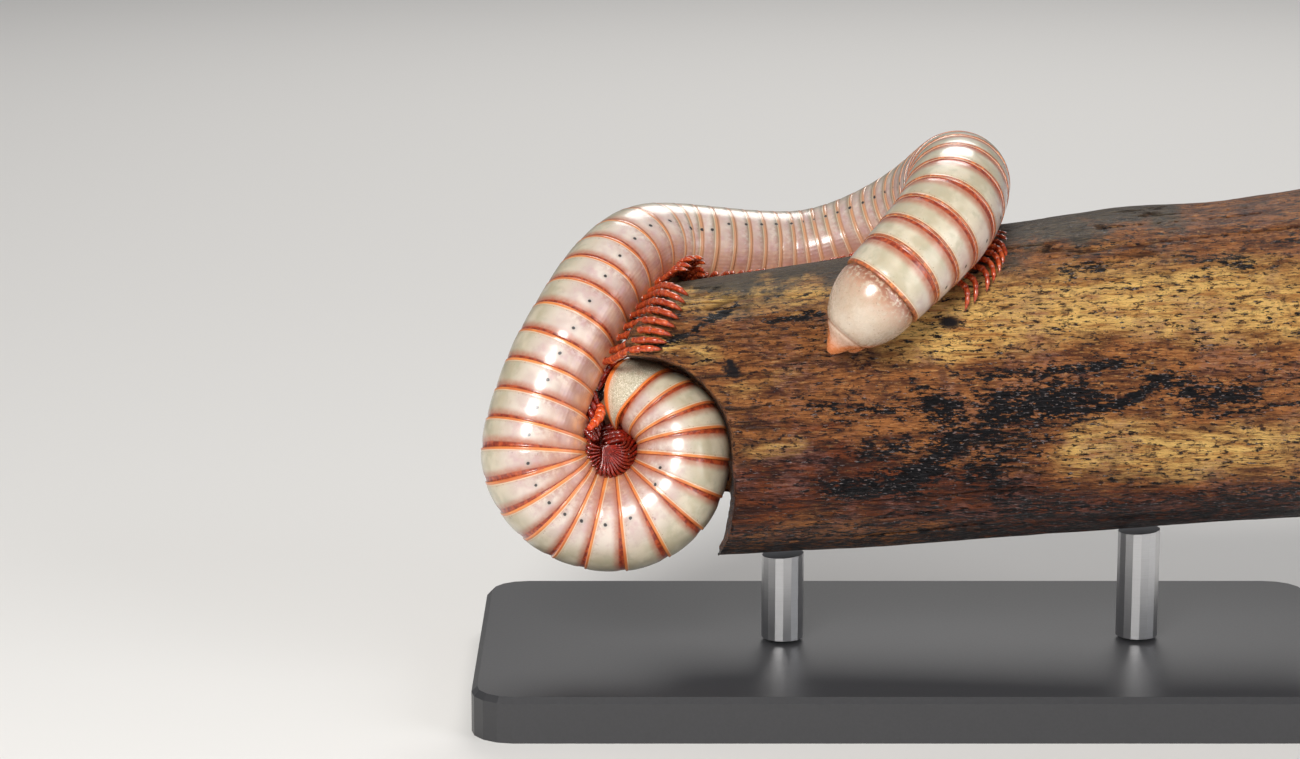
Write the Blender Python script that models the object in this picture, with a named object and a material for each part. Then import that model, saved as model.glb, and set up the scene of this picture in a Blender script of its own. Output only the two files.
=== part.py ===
"""A life-size millipede coiled at the broken end of a branch, on a display stand.

Lengths are in millimetres until a mesh is made, which is in metres, +Z up.
The animal and the branch are laid out in a plane that leans back a little:
x runs along the branch, u up the leaning plane and t away behind it.
"""
import math
from bisect import bisect_right

import bmesh
import bpy
from mathutils import Matrix, Vector

MM = 0.001
GAP = 0.3                     # between pieces that touch

# Leaning plane
LEAN = math.radians(12.0)
PLANE_ORIGIN = Vector((-18.7, 0.0, 22.1))
ALONG = Vector((1.0, 0.0, 0.0))
UP = Vector((0.0, math.sin(LEAN), math.cos(LEAN)))
AWAY = Vector((0.0, math.cos(LEAN), -math.sin(LEAN)))

# Branch
AXIS_U = -3.12                # height of the branch's axis where x is 0
AXIS_SLOPE = 0.108
BRANCH_HEIGHT = 9.8           # upper half height of the section where x is 0
BRANCH_TAPER = 0.042
BRANCH_FLATNESS = 0.82        # depth over height
BRANCH_LEFT = -3.0
BRANCH_RIGHT = 48.4
HOLLOW_BORDER = [             # degrees and distance from the coil's centre, of the end's hollow
    (-180, 10.6), (-100, 10.8), (-60, 10.7), (-45, 10.4), (-32, 9.7), (-18, 9.0), (-6, 8.72),
    (11, 8.72), (25, 8.55), (40, 8.25), (55, 7.95), (72, 7.45), (86, 7.15), (100, 7.3), (130, 9.5),
    (180, 10.6),
]
HOLLOW_FLOOR = 6.7            # t of its back wall
CLEAR_OF_ALL = 20.0           # far enough for a cutter to pass the whole branch
BROKEN_END = [                # x, u of what is cut away at the end
    (-CLEAR_OF_ALL, -CLEAR_OF_ALL), (7.25, -CLEAR_OF_ALL), (-0.95, 1.75), (-0.90, 2.5),
    (-0.35, 3.6), (0.30, 4.7), (1.05, 5.6), (1.6, 7.0), (3.3, 12.0), (-CLEAR_OF_ALL, 12.0),
]

# Body
BODY_RADIUS = 3.5
NECK_NARROWING = 0.215
REAR_SWELLING = 0.03
TAIL_NARROWING = 0.15
RINGS = 54                    # rings between the collar's front and the tail piece
PITCHES = [                   # ring, its length along the centre line
    (1, 2.05), (2, 1.33), (3, 1.36), (4, 1.16), (5, 1.40), (6, 1.62), (7, 1.58), (8, 1.80),
    (9, 1.90), (10, 1.82), (11, 1.62), (12, 1.50), (14, 1.46), (15, 1.22), (16, 1.42), (17, 1.88),
    (18, 2.02), (21, 1.92), (23, 1.90), (24, 1.80), (26, 1.45), (28, 1.20), (38, 1.20), (44, 1.60),
    (49, 1.90), (54, 2.00),
]
STRETCHED = (25, 46)          # rings whose lengths take up what is left over
COLLUM_REACH = 140.0          # degrees from the back down to each lobe's tip
COLLUM_FRONT_RADIUS = 2.46
COLLUM_INNER_RADII = (2.10, 2.30)
HEAD_OFFSET = 0.12            # to the right, clear of the column
HEAD_DROP = 0.22
HEAD_TURN = 0.25
NECK_RADIUS = 1.62            # of the stalk that joins the head under the collar
TELSON_LENGTH = 5.6
STANDOFF = 0.6                # the belly's height above the bark
NODE_GAP = 0.36

# Coil
COIL_CENTRE = (-2.6, -5.1)
COIL_BACK = -3.2
COIL_RADIUS = 4.97
NECK_ANGLE = 79.0             # where the collar's front edge lies
NECK_PLUNGE = 0.0003          # how fast the neck turns away behind the column
NECK_SLANT = 0.30             # of the first rings' planes, in radians
COLUMN_NEARER = 0.7
COLUMN_ANGLE = -192.0         # where the body leaves the coil
COIL_END = 16                 # ring; inside the coil there is room for legs on every other ring
BEND = range(19, 28)          # rings that bend over the branch's end, where legs crowd too
CROWDED = {1: range(15, 19), -1: range(17, 22)}  # rings beside the head, by side

# Stand
BASE_SIZE = (62.0, 31.0, 3.2)
BASE_CORNER = 3.0
BASE_EDGE = 0.4
ROD_RADIUS = 1.5
ROD_SIDES = 16
ROD_PLACES = (9.5, 35.0)      # along the branch

SIDES = 16                    # of the body's section
LEG_SIDES = 4

LENGTHS = [                   # node, first ring, last ring
    ("trunk_neck", 2, 7), ("trunk_coil", 8, 14), ("trunk_column", 15, 21),
    ("trunk_bend", 22, 28), ("trunk_run", 29, 36), ("trunk_climb", 37, 43),
    ("trunk_arch", 44, 48), ("trunk_rear", 49, RINGS),
]

FREE_GUIDES = [               # x, u, t of the centre line between coil and branch
    (-6.88, 0.14, -2.75),
    (-4.92, 3.93, -1.35),
    (-2.72, 7.30, 1.35),
    (-0.55, 9.10, 4.05),
]
BRANCH_GUIDES = [             # x, degrees round the branch from its crest, + behind
    (1.6, 27.0), (4.6, 32.0), (7.6, 36.5), (11.0, 39.5), (13.6, 38.5), (16.3, 34.5),
    (18.4, 29.0), (20.2, 21.0), (21.4, 10.0), (21.8, -5.0), (21.3, -22.0),
    (20.3, -35.0), (18.4, -46.0), (15.55, -59.0),
]
TAIL_TIP = (12.2, -73.0, 2.3)  # x, degrees, height above the bark

ANTENNA_GUIDES = [            # x, u, t of the left one, which lies against the column
    (-3.52, -2.03, -2.55),
    (-3.55, -2.62, -3.85),
    (-4.22, -3.40, -5.30),
]


def leaning(x, u, t):
    """A place in the leaning plane's coordinates, as a world place."""
    return PLANE_ORIGIN + ALONG * x + UP * u + AWAY * t


def ease(value):
    """0 below 0, 1 above 1 and a smooth step between."""
    value = min(1.0, max(0.0, value))
    return value * value * (3.0 - 2.0 * value)


def blend(a, b, share):
    return a + (b - a) * share


# Branch surface

def axis_u(x):
    return AXIS_U + AXIS_SLOPE * x


def section(x):
    """Half height and half depth of the branch."""
    height = BRANCH_HEIGHT + BRANCH_TAPER * x
    return height, height * BRANCH_FLATNESS


def bark_point(x, angle, lift=0.0):
    """A place at a height above the bark and the bark's outward direction there."""
    height, depth = section(x)
    surface = leaning(x, axis_u(x) + height * math.cos(angle), depth * math.sin(angle))
    normal = (UP * (math.cos(angle) / height) + AWAY * (math.sin(angle) / depth)).normalized()
    return surface + normal * lift, normal


def clear_of_bark(place, clearance):
    """The same place, moved out until it is that far outside the bark."""
    relative = place - PLANE_ORIGIN
    x, u, t = relative.x, relative.dot(UP), relative.dot(AWAY)
    height, depth = section(x)
    angle = math.atan2(t / depth, (u - axis_u(x)) / height)
    surface, normal = bark_point(x, angle)
    short = clearance - (place - surface).dot(normal)
    return place + normal * short if short > 0.0 else place


# Centre line

def coil_guide(angle):
    """Centre line and back direction in the coil, at an angle in degrees."""
    opened = ease((-100.0 - angle) / 92.0)
    tightened = ease((angle - 10.0) / 70.0)
    radius = COIL_RADIUS + 0.85 * opened - 0.85 * tightened
    neck = max(0.0, angle + 10.0)
    t = COIL_BACK - COLUMN_NEARER * ease((-110.0 - angle) / 70.0) + NECK_PLUNGE * neck * neck
    turn = math.radians(angle)
    place = leaning(COIL_CENTRE[0] + radius * math.cos(turn),
                    COIL_CENTRE[1] + radius * math.sin(turn), t)
    outward = ALONG * math.cos(turn) + UP * math.sin(turn)
    roll = math.radians(blend(-9.0, 20.0, ease((angle + 95.0) / 75.0)))
    return place, outward * math.cos(roll) - AWAY * math.sin(roll)


def guide_points():
    """Places along the body from the collar's front to the tail's tip, with back directions."""
    guides = []
    angle = NECK_ANGLE + 12.0
    while angle > COLUMN_ANGLE:
        guides.append(coil_guide(angle))
        angle -= 15.0
    roll = math.radians(-10.0)
    for x, u, t in FREE_GUIDES:
        side = (ALONG * -0.88 + UP * 0.47).normalized()
        guides.append((leaning(x, u, t), side * math.cos(roll) - AWAY * math.sin(roll)))
    for x, degrees in BRANCH_GUIDES:
        guides.append(bark_point(x, math.radians(degrees), body_radius(30) + STANDOFF))
    guides.append(bark_point(TAIL_TIP[0], math.radians(TAIL_TIP[1]), TAIL_TIP[2]))
    return guides


def body_radius(ring):
    """Radius of a ring's rim, counted from 1 at the collar."""
    narrow = NECK_NARROWING * math.exp(-(ring - 1) / 3.2)
    tail = TAIL_NARROWING * (max(0.0, ring - 49) / 5.0) ** 1.6
    return BODY_RADIUS * (1.0 - narrow + REAR_SWELLING * ease((ring - 36) / 8.0) - tail)


class CentreLine:
    """A smooth curve through the guides, measured along its length from the collar's front."""

    STEPS = 24

    def __init__(self):
        guides = guide_points()
        self.places = []
        self.backs = []
        for index in range(len(guides) - 1):
            around = [guides[min(max(index + k, 0), len(guides) - 1)] for k in (-1, 0, 1, 2)]
            for step in range(self.STEPS):
                share = step / self.STEPS
                self.places.append(self.between([g[0] for g in around], share))
                self.backs.append(around[1][1].lerp(around[2][1], share))
        self.places.append(guides[-1][0])
        self.backs.append(guides[-1][1])
        self.lengths = [0.0]
        for a, b in zip(self.places, self.places[1:]):
            self.lengths.append(self.lengths[-1] + (b - a).length)
        collar = coil_guide(NECK_ANGLE)[0]
        front = min(range(len(self.places)), key=lambda i: (self.places[i] - collar).length)
        start = self.lengths[front]
        self.lengths = [length - start for length in self.lengths]
        self.total = self.lengths[-1]

    @staticmethod
    def between(points, share):
        """Centripetal spline between the middle two of four points."""
        p0, p1, p2, p3 = points
        t0 = 0.0
        t1 = t0 + max((p1 - p0).length, 1e-3) ** 0.5
        t2 = t1 + max((p2 - p1).length, 1e-3) ** 0.5
        t3 = t2 + max((p3 - p2).length, 1e-3) ** 0.5
        t = blend(t1, t2, share)
        a1 = p0.lerp(p1, (t - t0) / (t1 - t0))
        a2 = p1.lerp(p2, (t - t1) / (t2 - t1))
        a3 = p2.lerp(p3, (t - t2) / (t3 - t2))
        b1 = a1.lerp(a2, (t - t0) / (t2 - t0))
        b2 = a2.lerp(a3, (t - t1) / (t3 - t1))
        return b1.lerp(b2, (t - t1) / (t2 - t1))

    def at(self, length):
        """Place at a length from the collar's front, straight on past either end."""
        index = min(max(bisect_right(self.lengths, length) - 1, 0), len(self.lengths) - 2)
        span = self.lengths[index + 1] - self.lengths[index]
        share = (length - self.lengths[index]) / span
        return self.places[index].lerp(self.places[index + 1], share), index, min(max(share, 0.0), 1.0)

    def frame(self, length):
        """Place, rearward, back and left directions."""
        place, index, share = self.at(length)
        rear = (self.at(length + 0.5)[0] - self.at(length - 0.5)[0]).normalized()
        hint = self.backs[index].lerp(self.backs[index + 1], share)
        back = (hint - rear * hint.dot(rear)).normalized()
        left = rear.cross(back)
        slant = NECK_SLANT * ease(length / 2.0) * (1.0 - ease((length - 1.0) / 7.0))
        back = back * math.cos(slant) + rear * math.sin(slant)
        return place, back.cross(left), back, left


def ring_starts(line):
    """Length at which each ring starts, the tail piece's start last."""
    pitches = []
    for ring in range(1, RINGS + 1):
        before = max(pair for pair in PITCHES if pair[0] <= ring)
        after = min(pair for pair in PITCHES if pair[0] >= ring)
        share = (ring - before[0]) / max(after[0] - before[0], 1)
        pitches.append(blend(before[1], after[1], share))
    first, last = STRETCHED
    loose = sum(pitches[first - 1:last])
    scale = 1.0 + (line.total - TELSON_LENGTH - sum(pitches)) / loose
    starts = [0.0]
    for ring, pitch in enumerate(pitches, 1):
        starts.append(starts[-1] + pitch * (scale if first <= ring <= last else 1.0))
    return starts


# Mesh helpers

def material(name, colour, roughness, metallic=0.0):
    made = bpy.data.materials.new(name)
    made.use_nodes = True
    shader = made.node_tree.nodes["Principled BSDF"]
    shader.inputs["Base Color"].default_value = (*colour, 1.0)
    shader.inputs["Roughness"].default_value = roughness
    shader.inputs["Metallic"].default_value = metallic
    return made


def add_object(name, mesh_data, finish):
    """An object from a bmesh in millimetres."""
    bmesh.ops.recalc_face_normals(mesh_data, faces=mesh_data.faces)
    bmesh.ops.scale(mesh_data, vec=(MM, MM, MM), verts=mesh_data.verts)
    mesh = bpy.data.meshes.new(name)
    mesh_data.to_mesh(mesh)
    mesh_data.free()
    mesh.materials.append(finish)
    made = bpy.data.objects.new(name, mesh)
    bpy.context.scene.collection.objects.link(made)
    return made


def loft(sections, pointed_end=None):
    """A closed body through sections of equal point counts, ending flat or in a point."""
    built = bmesh.new()
    rows = [[built.verts.new(point) for point in row] for row in sections]
    count = len(rows[0])
    for first, second in zip(rows, rows[1:]):
        for i in range(count):
            j = (i + 1) % count
            built.faces.new((first[i], first[j], second[j], second[i]))
    built.faces.new(rows[0])
    if pointed_end is None:
        built.faces.new(rows[-1])
    else:
        tip = built.verts.new(pointed_end)
        for i in range(count):
            built.faces.new((rows[-1][i], rows[-1][(i + 1) % count], tip))
    return built


def circle(centre, first, second, radius, count):
    """Places round a circle in the plane of two directions."""
    places = []
    for i in range(count):
        turn = math.tau * i / count
        places.append(centre + (first * math.cos(turn) + second * math.sin(turn)) * radius)
    return places


def egg(centre, axes, radii, around=14, down=9):
    """An ellipsoid on three directions."""
    built = bmesh.new()
    bmesh.ops.create_uvsphere(built, u_segments=around, v_segments=down, radius=1.0)
    turn = Matrix([[axes[c][r] * radii[c] for c in range(3)] for r in range(3)])
    for vert in built.verts:
        vert.co = centre + turn @ vert.co
    return built


def prism(border, front, back):
    """A body with a border in the leaning plane, from t of front to t of back."""
    return loft([[leaning(x, u, t) for x, u in border] for t in (front, back)])


def combine(target, others, operation, solver='EXACT'):
    """One Boolean of a collection of closed bodies with the target, applied."""
    group = bpy.data.collections.new(target.name + "_pieces")
    for other in others:
        group.objects.link(other)
    cut = target.modifiers.new("combine", 'BOOLEAN')
    cut.operation = operation
    cut.solver = solver
    cut.operand_type = 'COLLECTION'
    cut.collection = group
    view = bpy.context.evaluated_depsgraph_get()
    mesh = bpy.data.meshes.new_from_object(target.evaluated_get(view))
    finish = target.data.materials[0]
    target.modifiers.clear()
    target.data = mesh
    mesh.materials.clear()
    mesh.materials.append(finish)
    for polygon in mesh.polygons:
        polygon.material_index = 0
    bpy.data.collections.remove(group)
    for other in others:
        bpy.data.objects.remove(other)
    keep_largest(mesh)


def keep_largest(mesh):
    """Delete all but the largest connected surface."""
    built = bmesh.new()
    built.from_mesh(mesh)
    left = set(built.verts)
    pieces = []
    while left:
        piece = {left.pop()}
        edge_of = list(piece)
        while edge_of:
            for edge in edge_of.pop().link_edges:
                for vert in edge.verts:
                    if vert in left:
                        left.remove(vert)
                        piece.add(vert)
                        edge_of.append(vert)
        pieces.append(piece)
    pieces.sort(key=len)
    for piece in pieces[:-1]:
        bmesh.ops.delete(built, geom=list(piece), context='VERTS')
    built.to_mesh(mesh)
    built.free()


# Branch and stand

def build_branch(finish):
    """A length of branch whose broken end is pointed and hollowed for the coil."""
    count = 28
    stations = 9
    sections = []
    for step in range(stations):
        x = blend(BRANCH_LEFT, BRANCH_RIGHT, step / (stations - 1))
        sections.append([bark_point(x, math.tau * i / count)[0] for i in range(count)])
    branch = add_object("branch", loft(sections), finish)
    rim = []
    for (start, near), (stop, far) in zip(HOLLOW_BORDER, HOLLOW_BORDER[1:]):
        for step in range(2):
            turn = math.radians(blend(start, stop, step / 2))
            radius = blend(near, far, step / 2)
            rim.append((COIL_CENTRE[0] + radius * math.cos(turn),
                        COIL_CENTRE[1] + radius * math.sin(turn)))
    hollow = add_object("hollow_cutter", prism(rim, -CLEAR_OF_ALL, HOLLOW_FLOOR), finish)
    end = add_object("end_cutter", prism(BROKEN_END, -CLEAR_OF_ALL, CLEAR_OF_ALL), finish)
    combine(branch, [hollow, end], 'DIFFERENCE')


def build_stand(metal, paint):
    """A flat base and two rods whose tops follow the branch's sloping underside."""
    width, depth, height = BASE_SIZE
    built = bmesh.new()
    bmesh.ops.create_cube(built, size=1.0)
    for vert in built.verts:
        vert.co = Vector((vert.co.x * width, vert.co.y * depth, (vert.co.z + 0.5) * height))
    upright = [edge for edge in built.edges if abs(edge.verts[0].co.z - edge.verts[1].co.z) > 1.0]
    bmesh.ops.bevel(built, geom=upright, offset=BASE_CORNER, segments=4, profile=0.5,
                    affect='EDGES')
    top = [edge for edge in built.edges if min(v.co.z for v in edge.verts) > height - 0.01]
    bmesh.ops.bevel(built, geom=top, offset=BASE_EDGE, segments=1, profile=0.5, affect='EDGES')
    add_object("stand_base", built, paint)
    for number, x in enumerate(ROD_PLACES, 1):
        around = [bark_point(x, math.tau * i / 360)[0] for i in range(360)]
        lowest = min(around, key=lambda place: place.z)
        foot_row = []
        top_row = []
        for i in range(ROD_SIDES):
            turn = math.tau * i / ROD_SIDES
            side = Vector((ROD_RADIUS * math.cos(turn), ROD_RADIUS * math.sin(turn)))
            under = lowest.z + side.x * (AXIS_SLOPE * math.cos(LEAN) - BRANCH_TAPER)
            foot_row.append(Vector((lowest.x + side.x, lowest.y + side.y, height + GAP)))
            top_row.append(Vector((lowest.x + side.x, lowest.y + side.y, under - GAP)))
        add_object("stand_rod_%d" % number, loft([foot_row, top_row]), metal)


# Animal

def outline(turn):
    """Share of the radius at an angle from the back: the belly is a little flat."""
    return 1.0 - 0.09 * ease((abs(turn) - 2.2) / 0.6)


def body_section(line, length, radius):
    place, _, back, left = line.frame(length)
    points = []
    for i in range(SIDES):
        turn = math.tau * (i + 0.5) / SIDES - math.pi
        reach = radius * outline(turn)
        points.append(place + (back * math.cos(turn) + left * math.sin(turn)) * reach)
    return points


def leg_spine(line, length, ring, side):
    """Places and radii along one leg. side is 1 on the left, which the coil turns to the front."""
    place, rear, back, left = line.frame(length)
    radius = body_radius(ring)
    root = (0.80, 0.18, 0.0)
    curled = [root, (1.05, 0.40, 0.04), (1.10, 0.72, 0.08), (1.00, 0.92, 0.10)]
    tucked = [root, (0.95, 0.38, 0.0), (0.72, 0.77, 0.0), (0.42, 0.97, 0.0)]
    reaching = [root, (1.00, 0.85, 0.0), (1.38, 1.30, -0.05), (1.92, 1.42, -0.10)]
    gripping = [root, (1.03, 0.50, 0.02), (1.12, 0.98, 0.05), (1.45, 1.34, 0.08)]
    low = curled
    if side < 0 and 15 <= ring <= 20:
        low = tucked
    share_reach = ease((ring - 19) / 2.0)
    share_grip = ease((ring - 24) / 3.0)
    spine = []
    for spot, far, grip in zip(low, reaching, gripping):
        down, out, ahead = [blend(blend(p, q, share_reach), r, share_grip)
                            for p, q, r in zip(spot, far, grip)]
        spine.append(place + (left * (out * side) - back * down - rear * ahead) * radius)
    thick = [0.27, 0.26, 0.22, 0.13]
    if ring >= 19:
        first = 1 if ring >= 22 else 2
        spine[first:] = [clear_of_bark(point, reach + GAP)
                         for point, reach in zip(spine[first:], thick[first:])]
    return spine, thick


def build_leg(line, length, ring, side, finish):
    spine, thick = leg_spine(line, length, ring, side)
    rear = line.frame(length)[1]
    rows = []
    for index, (point, reach) in enumerate(zip(spine, thick)):
        before = spine[max(index - 1, 0)]
        after = spine[min(index + 1, len(spine) - 1)]
        forward = (after - before).normalized()
        across = (rear - forward * rear.dot(forward)).normalized()
        other = forward.cross(across)
        rows.append(circle(point, across, other, reach, LEG_SIDES))
    return add_object("leg", loft(rows), finish)


def build_trunk(line, starts, name, first, last, finish):
    """One length of the body, from ring first to ring last, with a leg pair to a ring."""
    sections = []
    for ring in range(first, last + 1):
        start = starts[ring - 1]
        pitch = starts[ring] - start
        radius = body_radius(ring)
        begin = start + (NODE_GAP / 2 if ring == first else 0.0)
        end = start + pitch * 0.91 if ring < last else starts[ring] - NODE_GAP / 2
        sections.append(body_section(line, begin, radius * 0.945))
        sections.append(body_section(line, start + pitch * 0.26, radius * 0.985))
        sections.append(body_section(line, end, radius))
    trunk = add_object(name, loft(sections), finish)
    legs = []
    for ring in range(max(first, 2), min(last, RINGS - 3) + 1):
        if (ring < COIL_END and ring % 2 == 0) or (ring in BEND and ring % 2 == 1):
            continue
        middle = blend(starts[ring - 1], starts[ring], 0.5)
        for side in (-1, 1):
            if ring not in CROWDED[side]:
                legs.append(build_leg(line, middle, ring, side, finish))
    combine(trunk, legs, 'UNION', 'MANIFOLD')
    return trunk


def build_collum(line, starts, finish):
    """The collar: a bent plate over the back and flanks, narrowed to a lobe on each side."""
    reach = math.radians(COLLUM_REACH)
    count = 18
    outer_front, outer_rear, inner_rear, inner_front = [], [], [], []
    for i in range(count + 1):
        turn = blend(-reach, reach, i / count)
        narrow = ease((abs(turn) - math.radians(60.0)) / math.radians(80.0))
        front = 0.05 + 0.30 * narrow * starts[1]
        rear = starts[1] - NODE_GAP / 2 - 0.30 * narrow * starts[1]
        rear = max(rear, front + 0.5)
        for row, length, radius in ((outer_front, front, COLLUM_FRONT_RADIUS),
                                    (outer_rear, rear, body_radius(1)),
                                    (inner_rear, rear, COLLUM_INNER_RADII[1]),
                                    (inner_front, front, COLLUM_INNER_RADII[0])):
            place, _, back, left = line.frame(length)
            row.append(place + (back * math.cos(turn) + left * math.sin(turn)) * radius)
    middle = []
    for i in range(count + 1):
        turn = blend(-reach, reach, i / count)
        place, _, back, left = line.frame(starts[1] * 0.45)
        middle.append(place + (back * math.cos(turn) + left * math.sin(turn)) * (body_radius(1) * 0.985))
    rows = list(zip(outer_front, middle, outer_rear, inner_rear, inner_front))
    add_object("collum", loft(rows), finish)


def head_frame(line):
    """The head's own place and directions: forward, back and left."""
    place, rear, back, left = line.frame(0.0)
    forward = -rear * math.cos(HEAD_TURN) - left * math.sin(HEAD_TURN)
    place = place - left * HEAD_OFFSET - back * HEAD_DROP
    return place, forward, back, back.cross(forward)


def build_head(line, starts, finish):
    place, forward, back, left = head_frame(line)

    def spot(f, b, s):
        return place + forward * f + back * b + left * s

    axes = (left, forward, back)
    capsule = egg(spot(0.80, 0.05, 0.0), axes, (1.90, 1.40, 2.05), 18, 12)
    for vert in capsule.verts:
        height = (vert.co - place).dot(back) / 2.1
        vert.co += forward * (0.30 * max(0.0, -height))
    head = add_object("head", capsule, finish)
    pieces = [egg(spot(0.88, -0.93, 1.16 * side), axes, (0.74, 1.02, 1.08)) for side in (-1, 1)]
    pieces.append(egg(spot(1.40, -1.55, 0.0), axes, (1.15, 0.75, 0.75)))
    pieces.append(egg(spot(0.45, -1.65, 0.0), axes, (0.90, 1.00, 0.52)))
    neck = []
    for length in (-0.6, 0.5, starts[1] - 0.45):
        middle, _, up, side = line.frame(length)
        neck.append(circle(middle, up, side, NECK_RADIUS, 12))
    parts = [add_object("piece", piece, finish) for piece in pieces]
    parts.append(add_object("neck", loft(neck), finish))
    combine(head, parts, 'UNION')
    sockets = [add_object("socket", eye_shape(line, side, 0.2), finish) for side in (-1, 1)]
    combine(head, sockets, 'DIFFERENCE', 'MANIFOLD')
    sockets = []
    for side in (-1, 1):
        base, direction = antenna_root(line, side)
        hole = egg(base - direction * 0.1, axes, (0.50, 0.50, 0.50), 10, 6)
        sockets.append(add_object("socket", hole, finish))
    combine(head, sockets, 'DIFFERENCE', 'MANIFOLD')


def eye_shape(line, side, extra):
    """A patch of small eyes: a flat oval on the side of the head."""
    place, forward, back, left = head_frame(line)
    centre = place + forward * 0.62 + back * 0.50 + left * (1.74 * side)
    out = (left * side * 0.9 + forward * 0.30 + back * 0.30).normalized()
    along = (back - out * back.dot(out)).normalized()
    return egg(centre, (along, out, out.cross(along)), (0.62 + extra, 0.28 + extra, 0.42 + extra), 12, 8)


def antenna_root(line, side):
    place, forward, back, left = head_frame(line)
    base = place + forward * 1.20 - back * 0.45 + left * (1.98 * side)
    return base, (left * side * 0.8 + forward * 0.6).normalized()


def build_antenna(line, name, side, finish):
    """Seven beads on a short curved line."""
    place, forward, back, left = head_frame(line)
    base, direction = antenna_root(line, side)
    bend = [base + direction * 0.05,
            base + direction * 0.55 - back * 0.35,
            base + direction * 0.75 - back * 1.3 + forward * 0.15,
            base + direction * 0.60 - back * 2.4 + forward * 0.45]
    if side > 0:
        bend[1:] = [leaning(*place) for place in ANTENNA_GUIDES]
    rows = []
    joints = 7
    for joint in range(joints):
        for share, girth in ((0.08, 0.17), (0.65, 0.27), (0.98, 0.22)):
            along = (joint + share) / joints * 3.0
            index = min(int(along), 2)
            around = [bend[min(max(index + k, 0), 3)] for k in (-1, 0, 1, 2)]
            point = CentreLine.between(around, along - index)
            after = CentreLine.between(around, min(along - index + 0.05, 1.0))
            before = CentreLine.between(around, max(along - index - 0.05, 0.0))
            ahead = (after - before).normalized()
            across = (forward - ahead * forward.dot(ahead)).normalized()
            other = ahead.cross(across)
            reach = girth * (1.0 if joint < joints - 1 or share < 0.9 else 0.6)
            rows.append(circle(point, across, other, reach, 8))
    add_object(name, loft(rows), finish)


def build_telson(line, starts, finish):
    """The tail piece: a rounded cone with a pointed end, and two valves below the point."""
    start = starts[-1]
    radius = body_radius(RINGS)
    sections = []
    for share, reach in ((0.0, 0.955), (0.10, 0.97), (0.28, 0.925), (0.46, 0.80), (0.62, 0.62),
                         (0.76, 0.41), (0.88, 0.23), (0.96, 0.12)):
        begin = NODE_GAP / 2 if share == 0.0 else 0.0
        sections.append(body_section(line, start + begin + TELSON_LENGTH * share, radius * reach))
    tip = line.at(start + TELSON_LENGTH)[0]
    telson = add_object("telson", loft(sections, tip), finish)
    place, rear, back, left = line.frame(start + TELSON_LENGTH * 0.58)
    valves = [egg(place - back * 1.15 + left * (0.72 * side), (left, rear, back), (0.85, 1.55, 1.05))
              for side in (-1, 1)]
    combine(telson, [add_object("valve", valve, finish) for valve in valves], 'UNION')


def main():
    for old in list(bpy.data.objects):
        bpy.data.objects.remove(old)
    wood = material("wood", (0.42, 0.21, 0.07), 0.75)
    cream = material("cream_plate", (0.78, 0.72, 0.62), 0.28)
    red = material("red_horn", (0.62, 0.12, 0.03), 0.35)
    dark = material("eye_black", (0.02, 0.015, 0.02), 0.15)
    steel = material("stand_steel", (0.55, 0.55, 0.56), 0.35, 1.0)
    paint = material("stand_paint", (0.05, 0.05, 0.055), 0.5)

    line = CentreLine()
    starts = ring_starts(line)
    build_branch(wood)
    build_stand(steel, paint)
    build_head(line, starts, cream)
    build_collum(line, starts, cream)
    for name, side in (("left", 1), ("right", -1)):
        eye = eye_shape(line, side, 0.0)
        add_object("eye_" + name, eye, dark)
        build_antenna(line, "antenna_" + name, side, red)
    for name, first, last in LENGTHS:
        build_trunk(line, starts, name, first, last, cream)
    build_telson(line, starts, cream)


main()
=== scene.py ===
"""Looks of a life-size millipede coiled at the broken end of a branch, on a display stand.

Lengths are in millimetres until a mesh is made, which is in metres, +Z up.
The animal and the branch are laid out in a plane that leans back a little:
x runs along the branch, u up the leaning plane and t away behind it.
"""
import itertools
import math
import random

import bmesh
import bpy
import numpy as np
from mathutils import Matrix, Vector


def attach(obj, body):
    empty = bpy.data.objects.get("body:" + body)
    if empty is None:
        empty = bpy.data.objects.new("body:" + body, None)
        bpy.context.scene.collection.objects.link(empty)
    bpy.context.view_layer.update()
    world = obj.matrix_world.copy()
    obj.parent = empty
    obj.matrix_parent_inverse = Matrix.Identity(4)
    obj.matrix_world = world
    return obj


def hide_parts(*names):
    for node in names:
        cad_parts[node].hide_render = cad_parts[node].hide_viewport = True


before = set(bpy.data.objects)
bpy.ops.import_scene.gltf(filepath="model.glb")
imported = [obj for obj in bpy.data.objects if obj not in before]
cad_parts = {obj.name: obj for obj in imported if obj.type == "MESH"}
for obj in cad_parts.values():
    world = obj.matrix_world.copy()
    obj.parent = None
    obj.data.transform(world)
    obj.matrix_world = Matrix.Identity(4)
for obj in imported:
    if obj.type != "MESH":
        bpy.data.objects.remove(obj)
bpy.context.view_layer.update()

MM = 0.001
TAU = math.tau

# Leaning plane
LEAN = math.radians(12.0)
PLANE_ORIGIN = np.array([-18.7, 0.0, 22.1])
ALONG = np.array([1.0, 0.0, 0.0])
UP = np.array([0.0, math.sin(LEAN), math.cos(LEAN)])
AWAY = np.array([0.0, math.cos(LEAN), -math.sin(LEAN)])

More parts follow.
